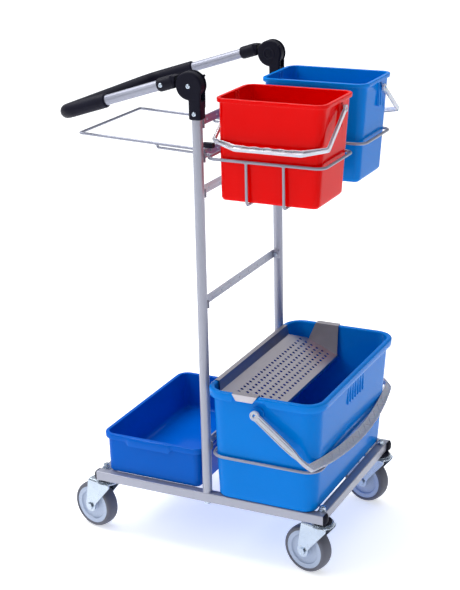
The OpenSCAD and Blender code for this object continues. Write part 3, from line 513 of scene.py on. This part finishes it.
# ---------------------------------------------------------------- bails
def channel_bar(bm, outline, holes, matrix, half_web, half_edge, edge):
    """Moulded bar: a thin web with raised edges round it and round every hole."""
    def inset(pts, d):
        n = len(pts)
        area = sum(pts[i][0] * pts[(i + 1) % n][1] - pts[(i + 1) % n][0] * pts[i][1] for i in range(n))
        s = 1 if area > 0 else -1
        out = []
        for i in range(n):
            a, b, c = Vector(pts[i - 1]), Vector(pts[i]), Vector(pts[(i + 1) % n])
            u, w = (b - a).normalized(), (c - b).normalized()
            nu, nw = Vector((-u.y, u.x)) * s, Vector((-w.y, w.x)) * s
            m = (nu + nw)
            m = m / max(0.35, m.length_squared / 2) if m.length > 1e-6 else nu
            out.append((b.x + m.x * d, b.y + m.y * d))
        return out

    def band(pts, d):
        inner = inset(pts, d)
        n = len(pts)
        levels = []
        for h in (-half_edge, half_edge):
            levels.append([bm.verts.new(matrix @ Vector((x * MM, y * MM, h * MM))) for x, y in pts])
            levels.append([bm.verts.new(matrix @ Vector((x * MM, y * MM, h * MM))) for x, y in inner])
        o1, i1, o2, i2 = levels
        for i in range(n):
            j = (i + 1) % n
            bm.faces.new((o1[i], o1[j], o2[j], o2[i]))
            bm.faces.new((i1[j], i1[i], i2[i], i2[j]))
            bm.faces.new((o2[i], o2[j], i2[j], i2[i]))
            bm.faces.new((o1[j], o1[i], i1[i], i1[j]))

    band(outline, edge)
    for hole in holes:
        band(hole, -edge * 0.7)
    web = bpy.data.curves.new("web", "CURVE")
    web.dimensions = "2D"
    web.fill_mode = "BOTH"
    web.extrude = half_web * MM
    for pts in [inset(outline, edge * 0.5)] + [inset(h, -edge * 0.35) for h in holes]:
        line = web.splines.new("POLY")
        line.points.add(len(pts) - 1)
        for point, (x, y) in zip(line.points, pts):
            point.co = (x * MM, y * MM, 0, 1)
        line.use_cyclic_u = True
    holder = bpy.data.objects.new("web", web)
    bpy.context.scene.collection.objects.link(holder)
    bpy.context.view_layer.update()
    mesh = bpy.data.meshes.new_from_object(holder.evaluated_get(bpy.context.evaluated_depsgraph_get()))
    mesh.transform(matrix)
    bm.from_mesh(mesh)
    bpy.data.objects.remove(holder)
    bpy.data.meshes.remove(mesh)


def small_bail(name, y, side):
    """Bail of a small bucket, hanging towards the near side where side is -1."""
    arm, out, half_in, thick = 100.0, 124.0, 113.0, 5.0
    bar = 9.8
    half_out = half_in + thick
    frame_m = (Matrix.Translation(P(SMALL_X, y + SMALL_PIVOT[0], SMALL_Z + SMALL_PIVOT[1]))
               @ Matrix.Diagonal((1, side, 1, 1)) @ Matrix.Rotation(math.radians(-35.5), 4, "X"))
    outline = [(-half_out, 4), (-half_out, arm + 6), (-68, out), (68, out), (half_out, arm + 6),
               (half_out, 4), (half_in, 4), (half_in, arm + 1.5), (66, out - bar)]
    grips, steps = 4, 32
    waves = []
    for k in range(steps + 1):  # finger grips on the inner edge
        x = 52 - 104 * k / steps
        waves.append((x, out - bar + 1.7 * (0.5 - 0.5 * math.cos(grips * 2 * math.pi * k / steps))))
    outline += waves + [(-66, out - bar), (-half_in, arm + 1.5), (-half_in, 4)]
    radii = [0.8, 7, 10, 10, 7, 0.8, 0.8, 4, 8] + [0] * len(waves) + [8, 4, 0.8]
    shape = rounded(outline, radii, 4)
    holes = [rounded([(x, out - 7.2), (x + 16, out - 7.2), (x + 16, out - 2.4), (x, out - 2.4)], 1.0, 3)
             for x in (-51, -25, 9, 35)]
    holes += [rounded([(s * 71, out - 8.0), (s * 101, out - 16.6), (s * 103, out - 14.6),
                       (s * 73, out - 3.4)], 1.0, 3) for s in (-1, 1)]
    bm = bmesh.new()
    channel_bar(bm, shape, holes, frame_m, 1.2, 3.9, 1.7)
    for s in (-1, 1):
        eye = frame_m @ Matrix.Translation(Vector((s * half_in * MM, 0, 0))) @ AXIS_X
        low, high = (0, thick) if s > 0 else (-thick, 0)
        lathe_ring(bm, [(3.1, low), (6.6, low), (7.2, low + 0.7), (7.2, high - 0.7), (6.6, high),
                        (3.1, high)], eye, 40)
    obj = obj_from(name, bm, MATS["clear_grey_plastic"], angle=30)
    bevel(obj, 0.5, 40)
    place(obj, name, "clear_grey_plastic", name)


small_bail("red_bucket_bail", -SMALL_Y, -1)
small_bail("blue_bucket_bail", SMALL_Y, 1)


def large_bail():
    """U-shaped bail with a trussed cross bar. Local X away from the pivots, Y across the cart."""
    inner, outer, half_in, arm_t = 161.0, 181.5, 223.1, 6.0
    inner_bend, outer_bend = 1100, 930
    half_out = half_in + arm_t
    frame_m = (Matrix.Translation(P(LARGE_PIVOT_X, 0, LARGE_PIVOT_Z))
               @ Matrix.Rotation(math.radians(39), 4, "Y"))

    def bow(reach, half, corner, bend):
        """Arm, round corner, bowed cross bar and back, as (away from the pivot, across) pairs."""
        line = rounded([(6, -half), (reach, -half), (reach, half), (6, half)], [0, corner, corner, 0], 16)
        path = [line[0]] + [(6 + (line[1][0] - 6) * k / 8, -half) for k in range(1, 8)] + line[1:17]
        span = half - corner
        path += [(reach, -span + 2 * span * k / 48) for k in range(49)]
        path += line[19:-1] + [(6 + (line[1][0] - 6) * k / 8, half) for k in range(7, 0, -1)] + [line[-1]]
        return [(min(x, reach - bend + math.sqrt(bend * bend - y * y)), y) for x, y in path]

    outer_line = bow(outer, half_out, 52, outer_bend)
    inner_line = bow(inner, half_in, 40, inner_bend)
    bm = bmesh.new()

    def strip(a_line, b_line, low, high):
        rows = [[bm.verts.new(frame_m @ Vector((x * MM, y * MM, h * MM))) for x, y in line]
                for line, h in ((a_line, low), (b_line, low), (b_line, high), (a_line, high))]
        for k in range(4):
            a, b = rows[k], rows[(k + 1) % 4]
            for i in range(len(a) - 1):
                bm.faces.new((a[i], a[i + 1], b[i + 1], b[i]))
        bm.faces.new([r[0] for r in rows])
        bm.faces.new([r[-1] for r in reversed(rows)])

    def between(t):
        return [(a[0] + (b[0] - a[0]) * t, a[1] + (b[1] - a[1]) * t)
                for a, b in zip(outer_line, inner_line)]

    strip(outer_line, between(0.16), -4.0, 4.0)
    strip(between(0.84), inner_line, -4.0, 4.0)
    strip(between(0.08), between(0.92), -2.4, 2.4)
    # zig-zag ribs of the cross bar
    teeth = 22
    first = -half_in + 44
    span = 2 * (half_in - 44)

    def on_bar(share, y):
        low = inner - inner_bend + math.sqrt(inner_bend ** 2 - y * y)
        high = outer - outer_bend + math.sqrt(outer_bend ** 2 - y * y)
        return (low + (high - low) * share, y)

    for i in range(teeth):
        y1 = first + span * i / teeth
        y2 = y1 + span / teeth
        a, b = on_bar(0.85, y1), on_bar(0.15, y2)
        if i % 2:
            a, b = on_bar(0.15, y1), on_bar(0.85, y2)
        d = (Vector(b) - Vector(a)).normalized()
        w = Vector((-d.y, d.x)) * 0.9
        prism(bm, [(a[0] + w.x, a[1] + w.y), (b[0] + w.x, b[1] + w.y), (b[0] - w.x, b[1] - w.y),
                   (a[0] - w.x, a[1] - w.y)], frame_m, -3.3, 3.3)
    for side in (-1, 1):  # broad arms with a round eye on the pivot
        face = frame_m @ Matrix.Translation(Vector((0, side * (half_in + arm_t / 2) * MM, 0))) @ AXIS_Y
        arm = [(0, -7.6), (50, -7.8), (80, -8.0), (104, -6.5), (118, -4.0), (118, 4.0), (104, 6.5),
               (80, 8.0), (50, 7.8), (0, 7.6)]
        prism(bm, arm, face, -1.6, 1.6)
        for s in (-1, 1):
            rail = [(6, s * 7.6), (50, s * 7.8), (80, s * 8.0), (104, s * 6.5), (118, s * 4.0),
                    (118, s * 2.2), (104, s * 4.4), (80, s * 5.9), (50, s * 5.7), (6, s * 5.4)]
            prism(bm, rail, face, -arm_t / 2, arm_t / 2)
        eye = [(4.2, -3), (9.4, -3), (10.2, -2.2), (10.2, 2.4), (9.4, 3.2), (8.2, 3.4), (7.6, 2.6),
               (6.2, 2.6), (4.2, 2.9)]
        lathe_ring(bm, [(r, side * h) for r, h in eye], face, 56)
    obj = obj_from("large_bucket_bail", bm, MATS["clear_grey_plastic"], angle=30)
    bevel(obj, 0.6, 40)
    place(obj, "large_bucket_bail", "clear_grey_plastic", "large_bucket_bail")


large_bail()


# ---------------------------------------------------------------- wires
def wires(name, build):
    bm = bmesh.new()
    build(bm)
    obj = obj_from(name, bm, MATS["silver_coating"], angle=50)
    place(obj, "chassis", "silver_coating", name)


def rectangle(x1, x2, y1, y2, z, corner):
    """Closed wire line, started half-way along its first side; its last point is the first again."""
    middle = (x1 + x2) / 2
    return rounded_path([P(middle, y1, z), P(x2, y1, z), P(x2, y2, z), P(x1, y2, z), P(x1, y1, z),
                         P(middle, y1, z)], corner)


# the strip that carries the bag frame and both bucket holders
STRIP_FACE, STRIP_REAR, STRIP_Z, STRIP_TOP = -6.0, -9.0, 838.5, 847.0
UNDER_WIRES = (97, 173)


def bag_wires(bm):
    r, half, start_z, end_x, end_z, stay = 2.75, 125, 841, -294, 853, -105
    hook_x1, hook_x2 = STRIP_FACE + r + 2, STRIP_REAR - r - 2
    gap = hook_x1 - hook_x2
    high = STRIP_TOP + 2.8 + r - start_z
    tilt = math.atan2(end_z - start_z, hook_x2 - end_x)
    length = (hook_x2 - end_x) / math.cos(tilt)
    m = Matrix.Translation(P(hook_x2, 0, start_z)) @ Matrix.Rotation(tilt, 4, "Y")

    def q(x, y, z):
        return m @ Vector((x * MM, y * MM, z * MM))

    hook = [(gap, 0), (gap, high), (0, high), (0, 0), (-length, 0)]
    line = [q(x, -half, z) for x, z in hook] + [q(x, half, z) for x, z in reversed(hook)]
    sweep(bm, rounded_path(line, 4.5), r)
    for y in (-half, half):  # short support wires under the frame
        sweep(bm, rounded_path([q(stay, y, 0), q(stay, y, -7.5), q(4, y, -7.5)], 3.5), 2.5)
        bead(bm, q(stay, y, -1.5), 3.4, (1.5, 1, 0.9))
        bead(bm, q(3.4, y, -7.0), 3.2, (0.8, 1.2, 1.0))


def holder_wires(side):
    def build(bm):
        x1, reach, y_out, y_in, z, r, rb = 14, 252, side * 180, side * 29, 840, 3.0, 2.7
        low = SMALL_Z - 0.3 - rb
        up = STRIP_TOP + 0.3 + r
        sweep(bm, rectangle(x1, reach, y_out, y_in, z, 18)[:-1], r, loop=True)
        for x in UNDER_WIRES:
            sweep(bm, rounded_path([P(x, y_out, z), P(x, y_out, low), P(x, y_in, low), P(x, y_in, z)],
                                   8), rb)
            for y in (y_out, y_in):
                bead(bm, P(x, y, z - 1.2), 4.1, (1.35, 0.95, 0.85))
        front, rear = STRIP_FACE + r + 1.5, STRIP_REAR - r - 1.5
        for y in (side * 152, side * 57):
            sweep(bm, rounded_path([P(x1, y, z), P(front, y, z), P(front, y, up), P(rear, y, up),
                                    P(rear, y, STRIP_Z - 4)], 4), rb)
            bead(bm, P(x1 - 0.6, y, z), 3.8, (0.9, 1.4, 0.9))
    return build


def hoop_wires(bm):
    x1, reach, half, z, r = 18, 249, 206, 238, 3.0
    sweep(bm, rectangle(x1, reach, -half, half, z, 30)[:-1], r, loop=True)
    for y in (-120, 120):
        sweep(bm, [P(x1, y, z), P(STRIP_FACE - 0.5, y, z)], 2.7)
        bead(bm, P(x1 - 0.8, y, z), 4.0, (0.9, 1.4, 0.95))
        bead(bm, P(STRIP_FACE + 0.6, y, z), 3.8, (0.6, 1.3, 1.3))


wires("bag_frame", bag_wires)
wires("bucket_holder_near", holder_wires(-1))
wires("bucket_holder_far", holder_wires(1))
wires("large_bucket_hoop", hoop_wires)

# ---------------------------------------------------------------- handle
PIVOT_X, PIVOT_Z, DROP, LIFT, REACH = -10.6, 978.5, 17.5, 15.7, 296.0
HANDLE = Matrix.Translation(P(PIVOT_X, 0, PIVOT_Z)) @ Matrix.Rotation(math.radians(-DROP), 4, "Y")


def H(x, y, z):
    """A point of the handle in metres, from millimetres counted from the pivot at rest."""
    return HANDLE @ Vector((x * MM, y * MM, z * MM))


def handle_line(start):
    return rounded_path([H(-start, -HALF_GAP, LIFT), H(-REACH, -HALF_GAP, LIFT),
                         H(-REACH, HALF_GAP, LIFT), H(-start, HALF_GAP, LIFT)], 34, 20)


def build_handle():
    bm = bmesh.new()
    sweep(bm, handle_line(36), 10.0, steps=40)
    tube = obj_from("handle_tube", bm, MATS["silver_coating"])
    place(tube, "handle", "silver_coating", "handle_tube")
    line = handle_line(186)
    fine = []
    for a, b in zip(line, line[1:]):
        cuts = max(1, int((b - a).length / 0.0025))
        fine += [a.lerp(b, k / cuts) for k in range(cuts)]
    fine.append(line[-1])
    total = sum((b - a).length for a, b in zip(fine, fine[1:])) / MM

    def radius(t):
        d = min(t, 1 - t) * total
        if d < 5:
            return 11.0 + 3.0 * math.sqrt(max(0.0, 1 - ((5 - d) / 5) ** 2))
        if 9 < d < 12:  # shallow groove behind the end bead
            return 14.0 - 0.5 * math.sin(math.pi * (d - 9) / 3)
        return 14.0

    bm = bmesh.new()
    sweep(bm, fine, radius, steps=48)
    grip = obj_from("handle_grip", bm, MATS["black_plastic"])
    place(grip, "handle", "black_plastic", "handle_grip")


build_handle()


def moulded(name, bm):
    """Solids merged into one moulding with soft edges."""
    obj = obj_from(name, bm, MATS["black_plastic"])
    mesh_mod = obj.modifiers.new("merge", "REMESH")
    mesh_mod.mode = "VOXEL"
    mesh_mod.voxel_size = 0.9 * MM
    mesh_mod.use_smooth_shade = True
    soft = obj.modifiers.new("soft", "SMOOTH")
    soft.factor = 0.5
    soft.iterations = 5
    return baked(obj, MATS["black_plastic"], angle=60)


def side_frame(side):
    """Post centre line of one side with +Y facing inwards."""
    return Matrix.Translation(P(0, side * HALF_GAP, 0)) @ Matrix.Diagonal((1, -side, 1, 1))


# turns an outline of (x, y) with its height along z into an outline of (x, z) with its height along y
SLICE = Matrix(((1, 0, 0, 0), (0, 0, 1, 0), (0, 1, 0, 0), (0, 0, 0, 1)))


def arc(cx, cz, r, a1, a2, steps=14):
    return [(cx + r * math.cos(math.radians(a1 + (a2 - a1) * k / steps)),
             cz + r * math.sin(math.radians(a1 + (a2 - a1) * k / steps))) for k in range(steps + 1)]


def knuckle_body(name, side):
    """Fork of the knuckle on the post: two cheeks, a sleeve round the post and a stop tab."""
    frame_m = side_frame(side) @ SLICE
    px, pz = PIVOT_X, PIVOT_Z
    bm = bmesh.new()
    # both cheeks: a disc round the pivot and the arm down the post, their outer edges rounded in steps
    for inner, outer, inset in ((8.0, 11.2, 0.0), (11.2, 12.5, 0.9), (12.5, 13.4, 2.4)):
        arm = [(-11.5 + inset, 936), (12.9 - inset, 936), (13.4 - inset, 966), (11.6 - inset, 968.5),
               (6, 990), (-14, 972), (-11.0 + inset, 952)]
        for low, high in ((-outer, -inner), (inner, outer)):
            prism(bm, arm, frame_m, low, high)
            prism(bm, arc(px, pz, 26.9 - inset, 0, 354, 60), frame_m, low, high)
    flat = Matrix.Translation(P(0, side * HALF_GAP, 0))
    for low, high, grow in ((915, 916.5, -1.2), (916.5, 950, 0.0)):
        sleeve = [point[:2] for point in ring_points(0, 0, 12.9 + grow, 13.5 + grow, 6.5 + grow, 0)]
        prism(bm, sleeve, flat, low, high)
    # stop tab at the back of the inner cheek
    tab = [(px + r * math.cos(math.radians(a)), pz + r * math.sin(math.radians(a)))
           for r, a in ((24, 32), (30, 34), (30, 42), (24, 44))]
    prism(bm, tab, frame_m, 8.0, 13.0)
    place(moulded(name, bm), "chassis", "black_plastic", name)


def handle_socket(name, side):
    """Arm on the handle tube: disc between the cheeks and the sleeve round the tube."""
    m = HANDLE @ Matrix.Translation(Vector((0, side * HALF_GAP * MM, 0))) \
        @ Matrix.Diagonal((1, -side, 1, 1)) @ SLICE
    bm = bmesh.new()
    prism(bm, arc(0, 0, 25.5, 0, 354, 60), m, -6.4, 6.4)
    crest = [(-33, 5)] + arc(0, 0, 26.9, 152, 84, 12) + [(-2, 24), (-26, 4)]
    prism(bm, crest, m, -6.4, 6.4)
    neck = [(-34, 3), (-29.0, 3), (-27.2, 15), (-22.5, 24.5), (-34, 28.4)]
    prism(bm, neck, m, -11.5, 11.5)
    tube = HANDLE @ Matrix.Translation(Vector((0, side * HALF_GAP * MM, LIFT * MM))) \
        @ Matrix.Rotation(math.radians(-90), 4, "Y")
    lathe(bm, [(0, 29.2), (10.6, 29.2), (13, 31.8), (13.2, 44), (13.0, 62), (12.4, 65.4),
               (10.9, 66.4), (0, 66.4)], tube, steps=64)
    place(moulded(name, bm), "handle", "black_plastic", name)


for tag, side in SIDES:
    knuckle_body("knuckle_body_" + tag, side)
    handle_socket("handle_socket_" + tag, side)


def screws(name, body, places, r, rise):
    """Domed screw heads with a small recess, one at each place."""
    bm = bmesh.new()
    for m in places:
        profile = [(0, -2.0), (r * 0.8, -2.0), (r, -0.5), (r, rise * 0.35), (r * 0.93, rise * 0.65),
                   (r * 0.72, rise * 0.92), (r * 0.5, rise), (r * 0.42, rise - 0.1),
                   (r * 0.38, rise - 1.0), (0, rise - 1.2)]
        lathe(bm, profile, m, steps=48)
    obj = obj_from(name, bm, MATS["zinc_plate"], angle=28)
    place(obj, body, "zinc_plate", name)


def outward(side, x, y, z):
    """Matrix at a point on the outer face of one side, Z pointing away from the cart."""
    return Matrix.Translation(P(x, side * y, z)) @ Matrix.Rotation(math.radians(-90 * side), 4, "X")


def outward_handle(side, x, y, z):
    """The same for a point counted from the handle's pivot."""
    return HANDLE @ Matrix.Translation(Vector((x * MM, side * y * MM, z * MM))) \
        @ Matrix.Rotation(math.radians(-90 * side), 4, "X")


screws("knuckle_pivot_pins", "chassis", [outward(s, PIVOT_X, HALF_GAP + 13.0, PIVOT_Z) for s in (-1, 1)],
       4.6, 2.0)
screws("knuckle_post_screws", "chassis", [outward(s, 0.6, HALF_GAP + 13.8, 927) for s in (-1, 1)], 4.4, 1.8)
screws("handle_socket_screws", "handle",
       [outward_handle(s, -56, HALF_GAP + 12.6, LIFT) for s in (-1, 1)], 4.4, 1.8)

for tag, side in SIDES:
    bm = bmesh.new()
    inward = Matrix.Translation(P(PIVOT_X, side * (HALF_GAP - 10.6), PIVOT_Z)) \
        @ Matrix.Rotation(math.radians(90 * side), 4, "X")
    lathe(bm, [(0, 0), (12.6, 0), (12.9, 0.4), (12.9, 2.6), (12.2, 3.4), (10.6, 3.6), (9.8, 3.1),
               (7.6, 2.5), (5.6, 2.7), (4.8, 3.3), (3.2, 3.5), (0, 3.5)], inward, steps=72)
    button = obj_from("release_button_" + tag, bm, MATS["black_plastic"], angle=25)
    place(button, "release_button_" + tag, "black_plastic", "release_button_" + tag)


# ---------------------------------------------------------------- casters
TURN, TRAIL, WHEEL_R = math.radians(-13), 35.0, 50.0


def caster_matrix(i):
    """Swivel axis of a caster on the floor: 1 and 2 under the buckets, odd numbers on the near side."""
    x = (1 if i < 3 else -1) * 246.0
    y = (-1 if i % 2 else 1) * (HALF_GAP - 16)
    return Matrix.Translation(P(x, y, 0)) @ Matrix.Rotation(TURN, 4, "Z")


def fork(i):
    """Pressed fork: a sheet folded over the crown, with a crease down each cheek."""
    m = caster_matrix(i)
    outer_y, crown, crease = 20.0, 114.6, -21.0

    def left(z):
        if z >= WHEEL_R:
            return -48 + (z - WHEEL_R) * 10 / (crown - WHEEL_R)
        return -TRAIL - math.sqrt(max(0.0, 13 ** 2 - (z - WHEEL_R) ** 2))

    def right(z):
        if z >= 56:
            return min(20.0, -21.5 + (z - 56) * 43 / (crown - 7.5 - 56))
        if z >= WHEEL_R:
            return -22 + 0.5 * (z - WHEEL_R) / 6
        return -TRAIL + math.sqrt(max(0.0, 13 ** 2 - (z - WHEEL_R) ** 2))

    # stations down one cheek, from the middle of the crown
    stations = [(0.0, crown, 0.0), (outer_y - 12, crown, 0.0), (outer_y - 5, crown, 0.0)]
    for k in range(1, 6):
        a = math.radians(18 * k)
        stations.append((outer_y - 5 + 5 * math.sin(a), crown - 5 + 5 * math.cos(a), k / 5))
    for z in (104, 98, 92, 84, 76, 68, 60, 54, 50, 46, 43, 41, 39.4, 38.3, 37.5, 37.1):
        stations.append((outer_y, z, 1.0))
    bm = bmesh.new()
    for side in (-1, 1):
        rows = []
        for y, z, share in stations:
            x_left, x_right = left(z), max(right(z), left(z) + 0.5)
            fold = min(crease, x_right)
            xs = [x_left + (fold - x_left) * k / 5 for k in range(6)]
            xs += [fold + (x_right - fold) * k / 5 for k in range(1, 6)]
            row = []
            for k, x in enumerate(xs):
                shift = 0.7 if k <= 5 else 0.7 - 2.4 * (x - fold) / 42
                fade = share * smooth_step((crown - 6 - z) / 8)
                row.append(m @ Vector((x * MM, side * (y + shift * fade) * MM, z * MM)))
            rows.append(row)
        verts = [[bm.verts.new(p) for p in row] for row in rows]
        for a, b in zip(verts, verts[1:]):
            for k in range(len(a) - 1):
                quad = (a[k], a[k + 1], b[k + 1], b[k])
                bm.faces.new(quad if side > 0 else quad[::-1])
    bmesh.ops.remove_doubles(bm, verts=bm.verts, dist=2e-5)
    bmesh.ops.dissolve_degenerate(bm, edges=bm.edges, dist=1e-5)
    obj = obj_from(f"fork_{i}", bm, MATS["zinc_plate"], angle=24)
    solid(obj, 3.0)
    baked(obj, MATS["zinc_plate"], 24)
    bm = bmesh.new()
    bm.from_mesh(obj.data)
    lathe(bm, [(7.1, 109.2), (21, 109.2), (23.6, 110.4), (24.4, 112.4), (23.6, 114.4), (21.6, 115.0),
               (7.1, 115.0)], m, steps=72)
    bmesh.ops.recalc_face_normals(bm, faces=bm.faces)
    bm.to_mesh(obj.data)
    bm.free()
    finish_mesh(obj.data, 24)
    bevel(obj, 0.5, 50)
    place(obj, f"swivel_{i}", "zinc_plate", f"fork_{i}")


def wheel(i):
    m = caster_matrix(i) @ Matrix.Translation(Vector((-TRAIL * MM, 0, WHEEL_R * MM))) @ AXIS_Y
    hub_half = [(4.1, 16.4), (9.6, 16.4), (10.8, 16.0), (11.6, 12.6), (13.5, 11.0), (19, 10.2), (24, 9.7),
                (29.0, 9.9), (30.6, 10.8), (31.4, 12.6), (32.2, 13.6), (33.4, 13.9), (36.6, 13.9),
                (38.4, 14.1), (39.6, 14.4), (40.9, 14.2)]
    bm = bmesh.new()
    lathe_ring(bm, hub_half + [(r, -h) for r, h in reversed(hub_half)], m, 96)
    hub = obj_from(f"wheel_hub_{i}", bm, MATS["hub_plastic"], angle=30)
    place(hub, f"wheel_{i}", "hub_plastic", f"wheel_hub_{i}")
    tyre_half = [(40.95, 14.3), (41.6, 15.0), (42.6, 15.5), (44.6, 15.5), (46.4, 14.9), (48.0, 13.2),
                 (49.0, 10.8), (49.55, 8.0), (49.85, 5.0), (50.0, 1.2)]
    bm = bmesh.new()
    lathe_ring(bm, tyre_half + [(r, -h) for r, h in reversed(tyre_half)], m, 120)
    tyre = obj_from(f"tyre_{i}", bm, MATS["grey_tyre"], angle=40)
    place(tyre, f"wheel_{i}", "grey_tyre", f"tyre_{i}")


for i in range(1, 5):
    fork(i)
    wheel(i)
    m = caster_matrix(i)
    bm = bmesh.new()
    lathe(bm, [(4.2, 115.2), (20.5, 115.2), (22.6, 115.6), (23.4, 116.6), (22.8, 117.8), (20.5, 118.4),
               (4.2, 118.4)], m, steps=64)
    race = obj_from(f"caster_race_{i}", bm, MATS["zinc_plate"], angle=30)
    place(race, "chassis", "zinc_plate", *(["caster_races"] if i == 1 else []))
    bm = bmesh.new()
    lathe(bm, [(4.2, 118.4), (18.6, 118.4), (19.4, 119.2), (19.4, 121.6), (18.2, 122.9), (4.2, 122.9)],
          m, steps=64)
    seal = obj_from(f"caster_seal_{i}", bm, MATS["black_plastic"], angle=30)
    place(seal, "chassis", "black_plastic")

# rail end caps
bm = bmesh.new()
for end in (-1, 1):
    for side in (-1, 1):
        base = Matrix.Translation(P(end * 257, side * HALF_GAP, RAIL_TOP - 10)) \
            @ Matrix.Rotation(math.radians(90 * end), 4, "Y")
        rings = []
        for size, h in ((16.8, -14), (16.8, -0.01), (19.8, 0), (19.9, 1.2), (19.4, 2.6), (17.8, 4.2),
                        (14.6, 5.6), (10, 6.5), (5, 6.9)):
            r = 2.4 if size > 19 else min(size * 0.35, 5.5)
            pts = ring_points(0, 0, size / 2, size / 2, r, h, corner=5, side=4)
            rings.append([base @ Vector((x * MM, y * MM, z * MM)) for x, y, z in pts])
        rings_to_mesh(bm, rings)
caps = obj_from("rail_end_caps", bm, MATS["black_plastic"], angle=50)
place(caps, "chassis", "black_plastic", "rail_end_caps")

# ---------------------------------------------------------------- CAD nodes that stay
ZINC = ("screws", "nuts", "bolts", "axle_bolt", "pins", "race")
for node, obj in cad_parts.items():
    if obj.hide_render:
        continue
    if any(word in node for word in ZINC):
        mat = MATS["zinc_plate"]
    elif "clips" in node or "caps" in node or "knuckle" in node:
        mat = MATS["black_plastic"]
    elif node == "drip_sieve":
        mat = MATS["stainless_sheet"]
    else:
        mat = MATS["silver_coating"]
    obj.data.materials.clear()
    obj.data.materials.append(mat)
    obj.data.set_sharp_from_angle(angle=math.radians(30))

# ---------------------------------------------------------------- floor, light, camera
bm = bmesh.new()
bmesh.ops.create_grid(bm, x_segments=8, y_segments=8, size=14)
floor_mat = new_material("studio_floor", (0.93, 0.93, 0.93), 0.7, spread=0.004, bump=0.0, specular=0.1)
paint = floor_mat.node_tree.nodes["Principled BSDF"]
paint.inputs["Emission Color"].default_value = (0.95, 0.97, 1.0, 1)
paint.inputs["Emission Strength"].default_value = 0.55
floor = obj_from("floor", bm, floor_mat)
floor.location.z = -0.0005

world = bpy.data.worlds.new("studio")
bpy.context.scene.world = world
world.use_nodes = True
nodes, links = world.node_tree.nodes, world.node_tree.links
sky = nodes["Background"]
sky.inputs["Color"].default_value = (0.97, 0.98, 1.0, 1)
split = nodes.new("ShaderNodeSeparateXYZ")
links.new(nodes.new("ShaderNodeTexCoord").outputs["Generated"], split.inputs["Vector"])


def graded(axis, start, end, low, high):
    """Brightness that goes from low to high along one axis of the sky."""
    node = nodes.new("ShaderNodeMapRange")
    node.inputs["From Min"].default_value = start
    node.inputs["From Max"].default_value = end
    node.inputs["To Min"].default_value = low
    node.inputs["To Max"].default_value = high
    links.new(split.outputs[axis], node.inputs["Value"])
    return node.outputs["Result"]


def product(a, b):
    node = nodes.new("ShaderNodeMath")
    node.operation = "MULTIPLY"
    links.new(a, node.inputs[0])
    links.new(b, node.inputs[1])
    return node.outputs["Value"]


# The studio is bright overhead, darker on the near side and darkest beyond the bucket end.
level = product(product(graded("Y", -0.9, 0.3, 0.2, 0.55), graded("X", 0.0, 0.9, 1.0, 0.25)),
                graded("Z", 0.45, 0.9, 1.0, 2.9))
# What is seen of the studio itself behind the floor stays as pale as the floor.
seen = nodes.new("ShaderNodeMix")
seen.inputs["B"].default_value = 1.0
links.new(nodes.new("ShaderNodeLightPath").outputs["Is Camera Ray"], seen.inputs["Factor"])
links.new(level, seen.inputs["A"])
links.new(seen.outputs["Result"], sky.inputs["Strength"])


def area_light(name, spot, target, size, power):
    """Soft lamp at the spot, turned to the target."""
    data = bpy.data.lights.new(name, "AREA")
    data.shape = "RECTANGLE"
    data.size, data.size_y = size
    data.energy = power
    obj = bpy.data.objects.new(name, data)
    bpy.context.scene.collection.objects.link(obj)
    obj.location = spot
    obj.rotation_euler = (Vector(target) - Vector(spot)).to_track_quat("-Z", "Y").to_euler()


area_light("key", (-2.0, -2.8, 2.4), (0, 0, 0.5), (1.8, 1.8), 24)
area_light("fill", (2.6, -1.6, 1.8), (0, 0, 0.5), (0.5, 1.6), 2)
area_light("top", (-1.3, -0.1, 2.9), (0.1, 0, 0.3), (1.6, 1.6), 46)

yaw, pitch, roll = math.radians(25.87), math.radians(19.24), math.radians(1.23)
forward = Vector((-math.sin(yaw) * math.cos(pitch), math.cos(yaw) * math.cos(pitch), -math.sin(pitch)))
right = Vector((math.cos(yaw), math.sin(yaw), 0))
down = forward.cross(right)
cam_x = math.cos(roll) * right + math.sin(roll) * down
cam_y = math.sin(roll) * right - math.cos(roll) * down
camera_data = bpy.data.cameras.new("camera")
camera_data.lens = 88.6
camera_data.sensor_width = 36
camera_data.clip_end = 60
camera = bpy.data.objects.new("camera", camera_data)
bpy.context.scene.collection.objects.link(camera)
spot = P(1246 - 33.6, -2376 - HALF_GAP, 1497)
camera.matrix_world = Matrix((
    (cam_x.x, cam_y.x, -forward.x, spot.x),
    (cam_x.y, cam_y.y, -forward.y, spot.y),
    (cam_x.z, cam_y.z, -forward.z, spot.z),
    (0, 0, 0, 1)))
bpy.context.scene.camera = camera
bpy.context.scene.view_settings.view_transform = "Standard"
bpy.context.scene.view_settings.look = "None"
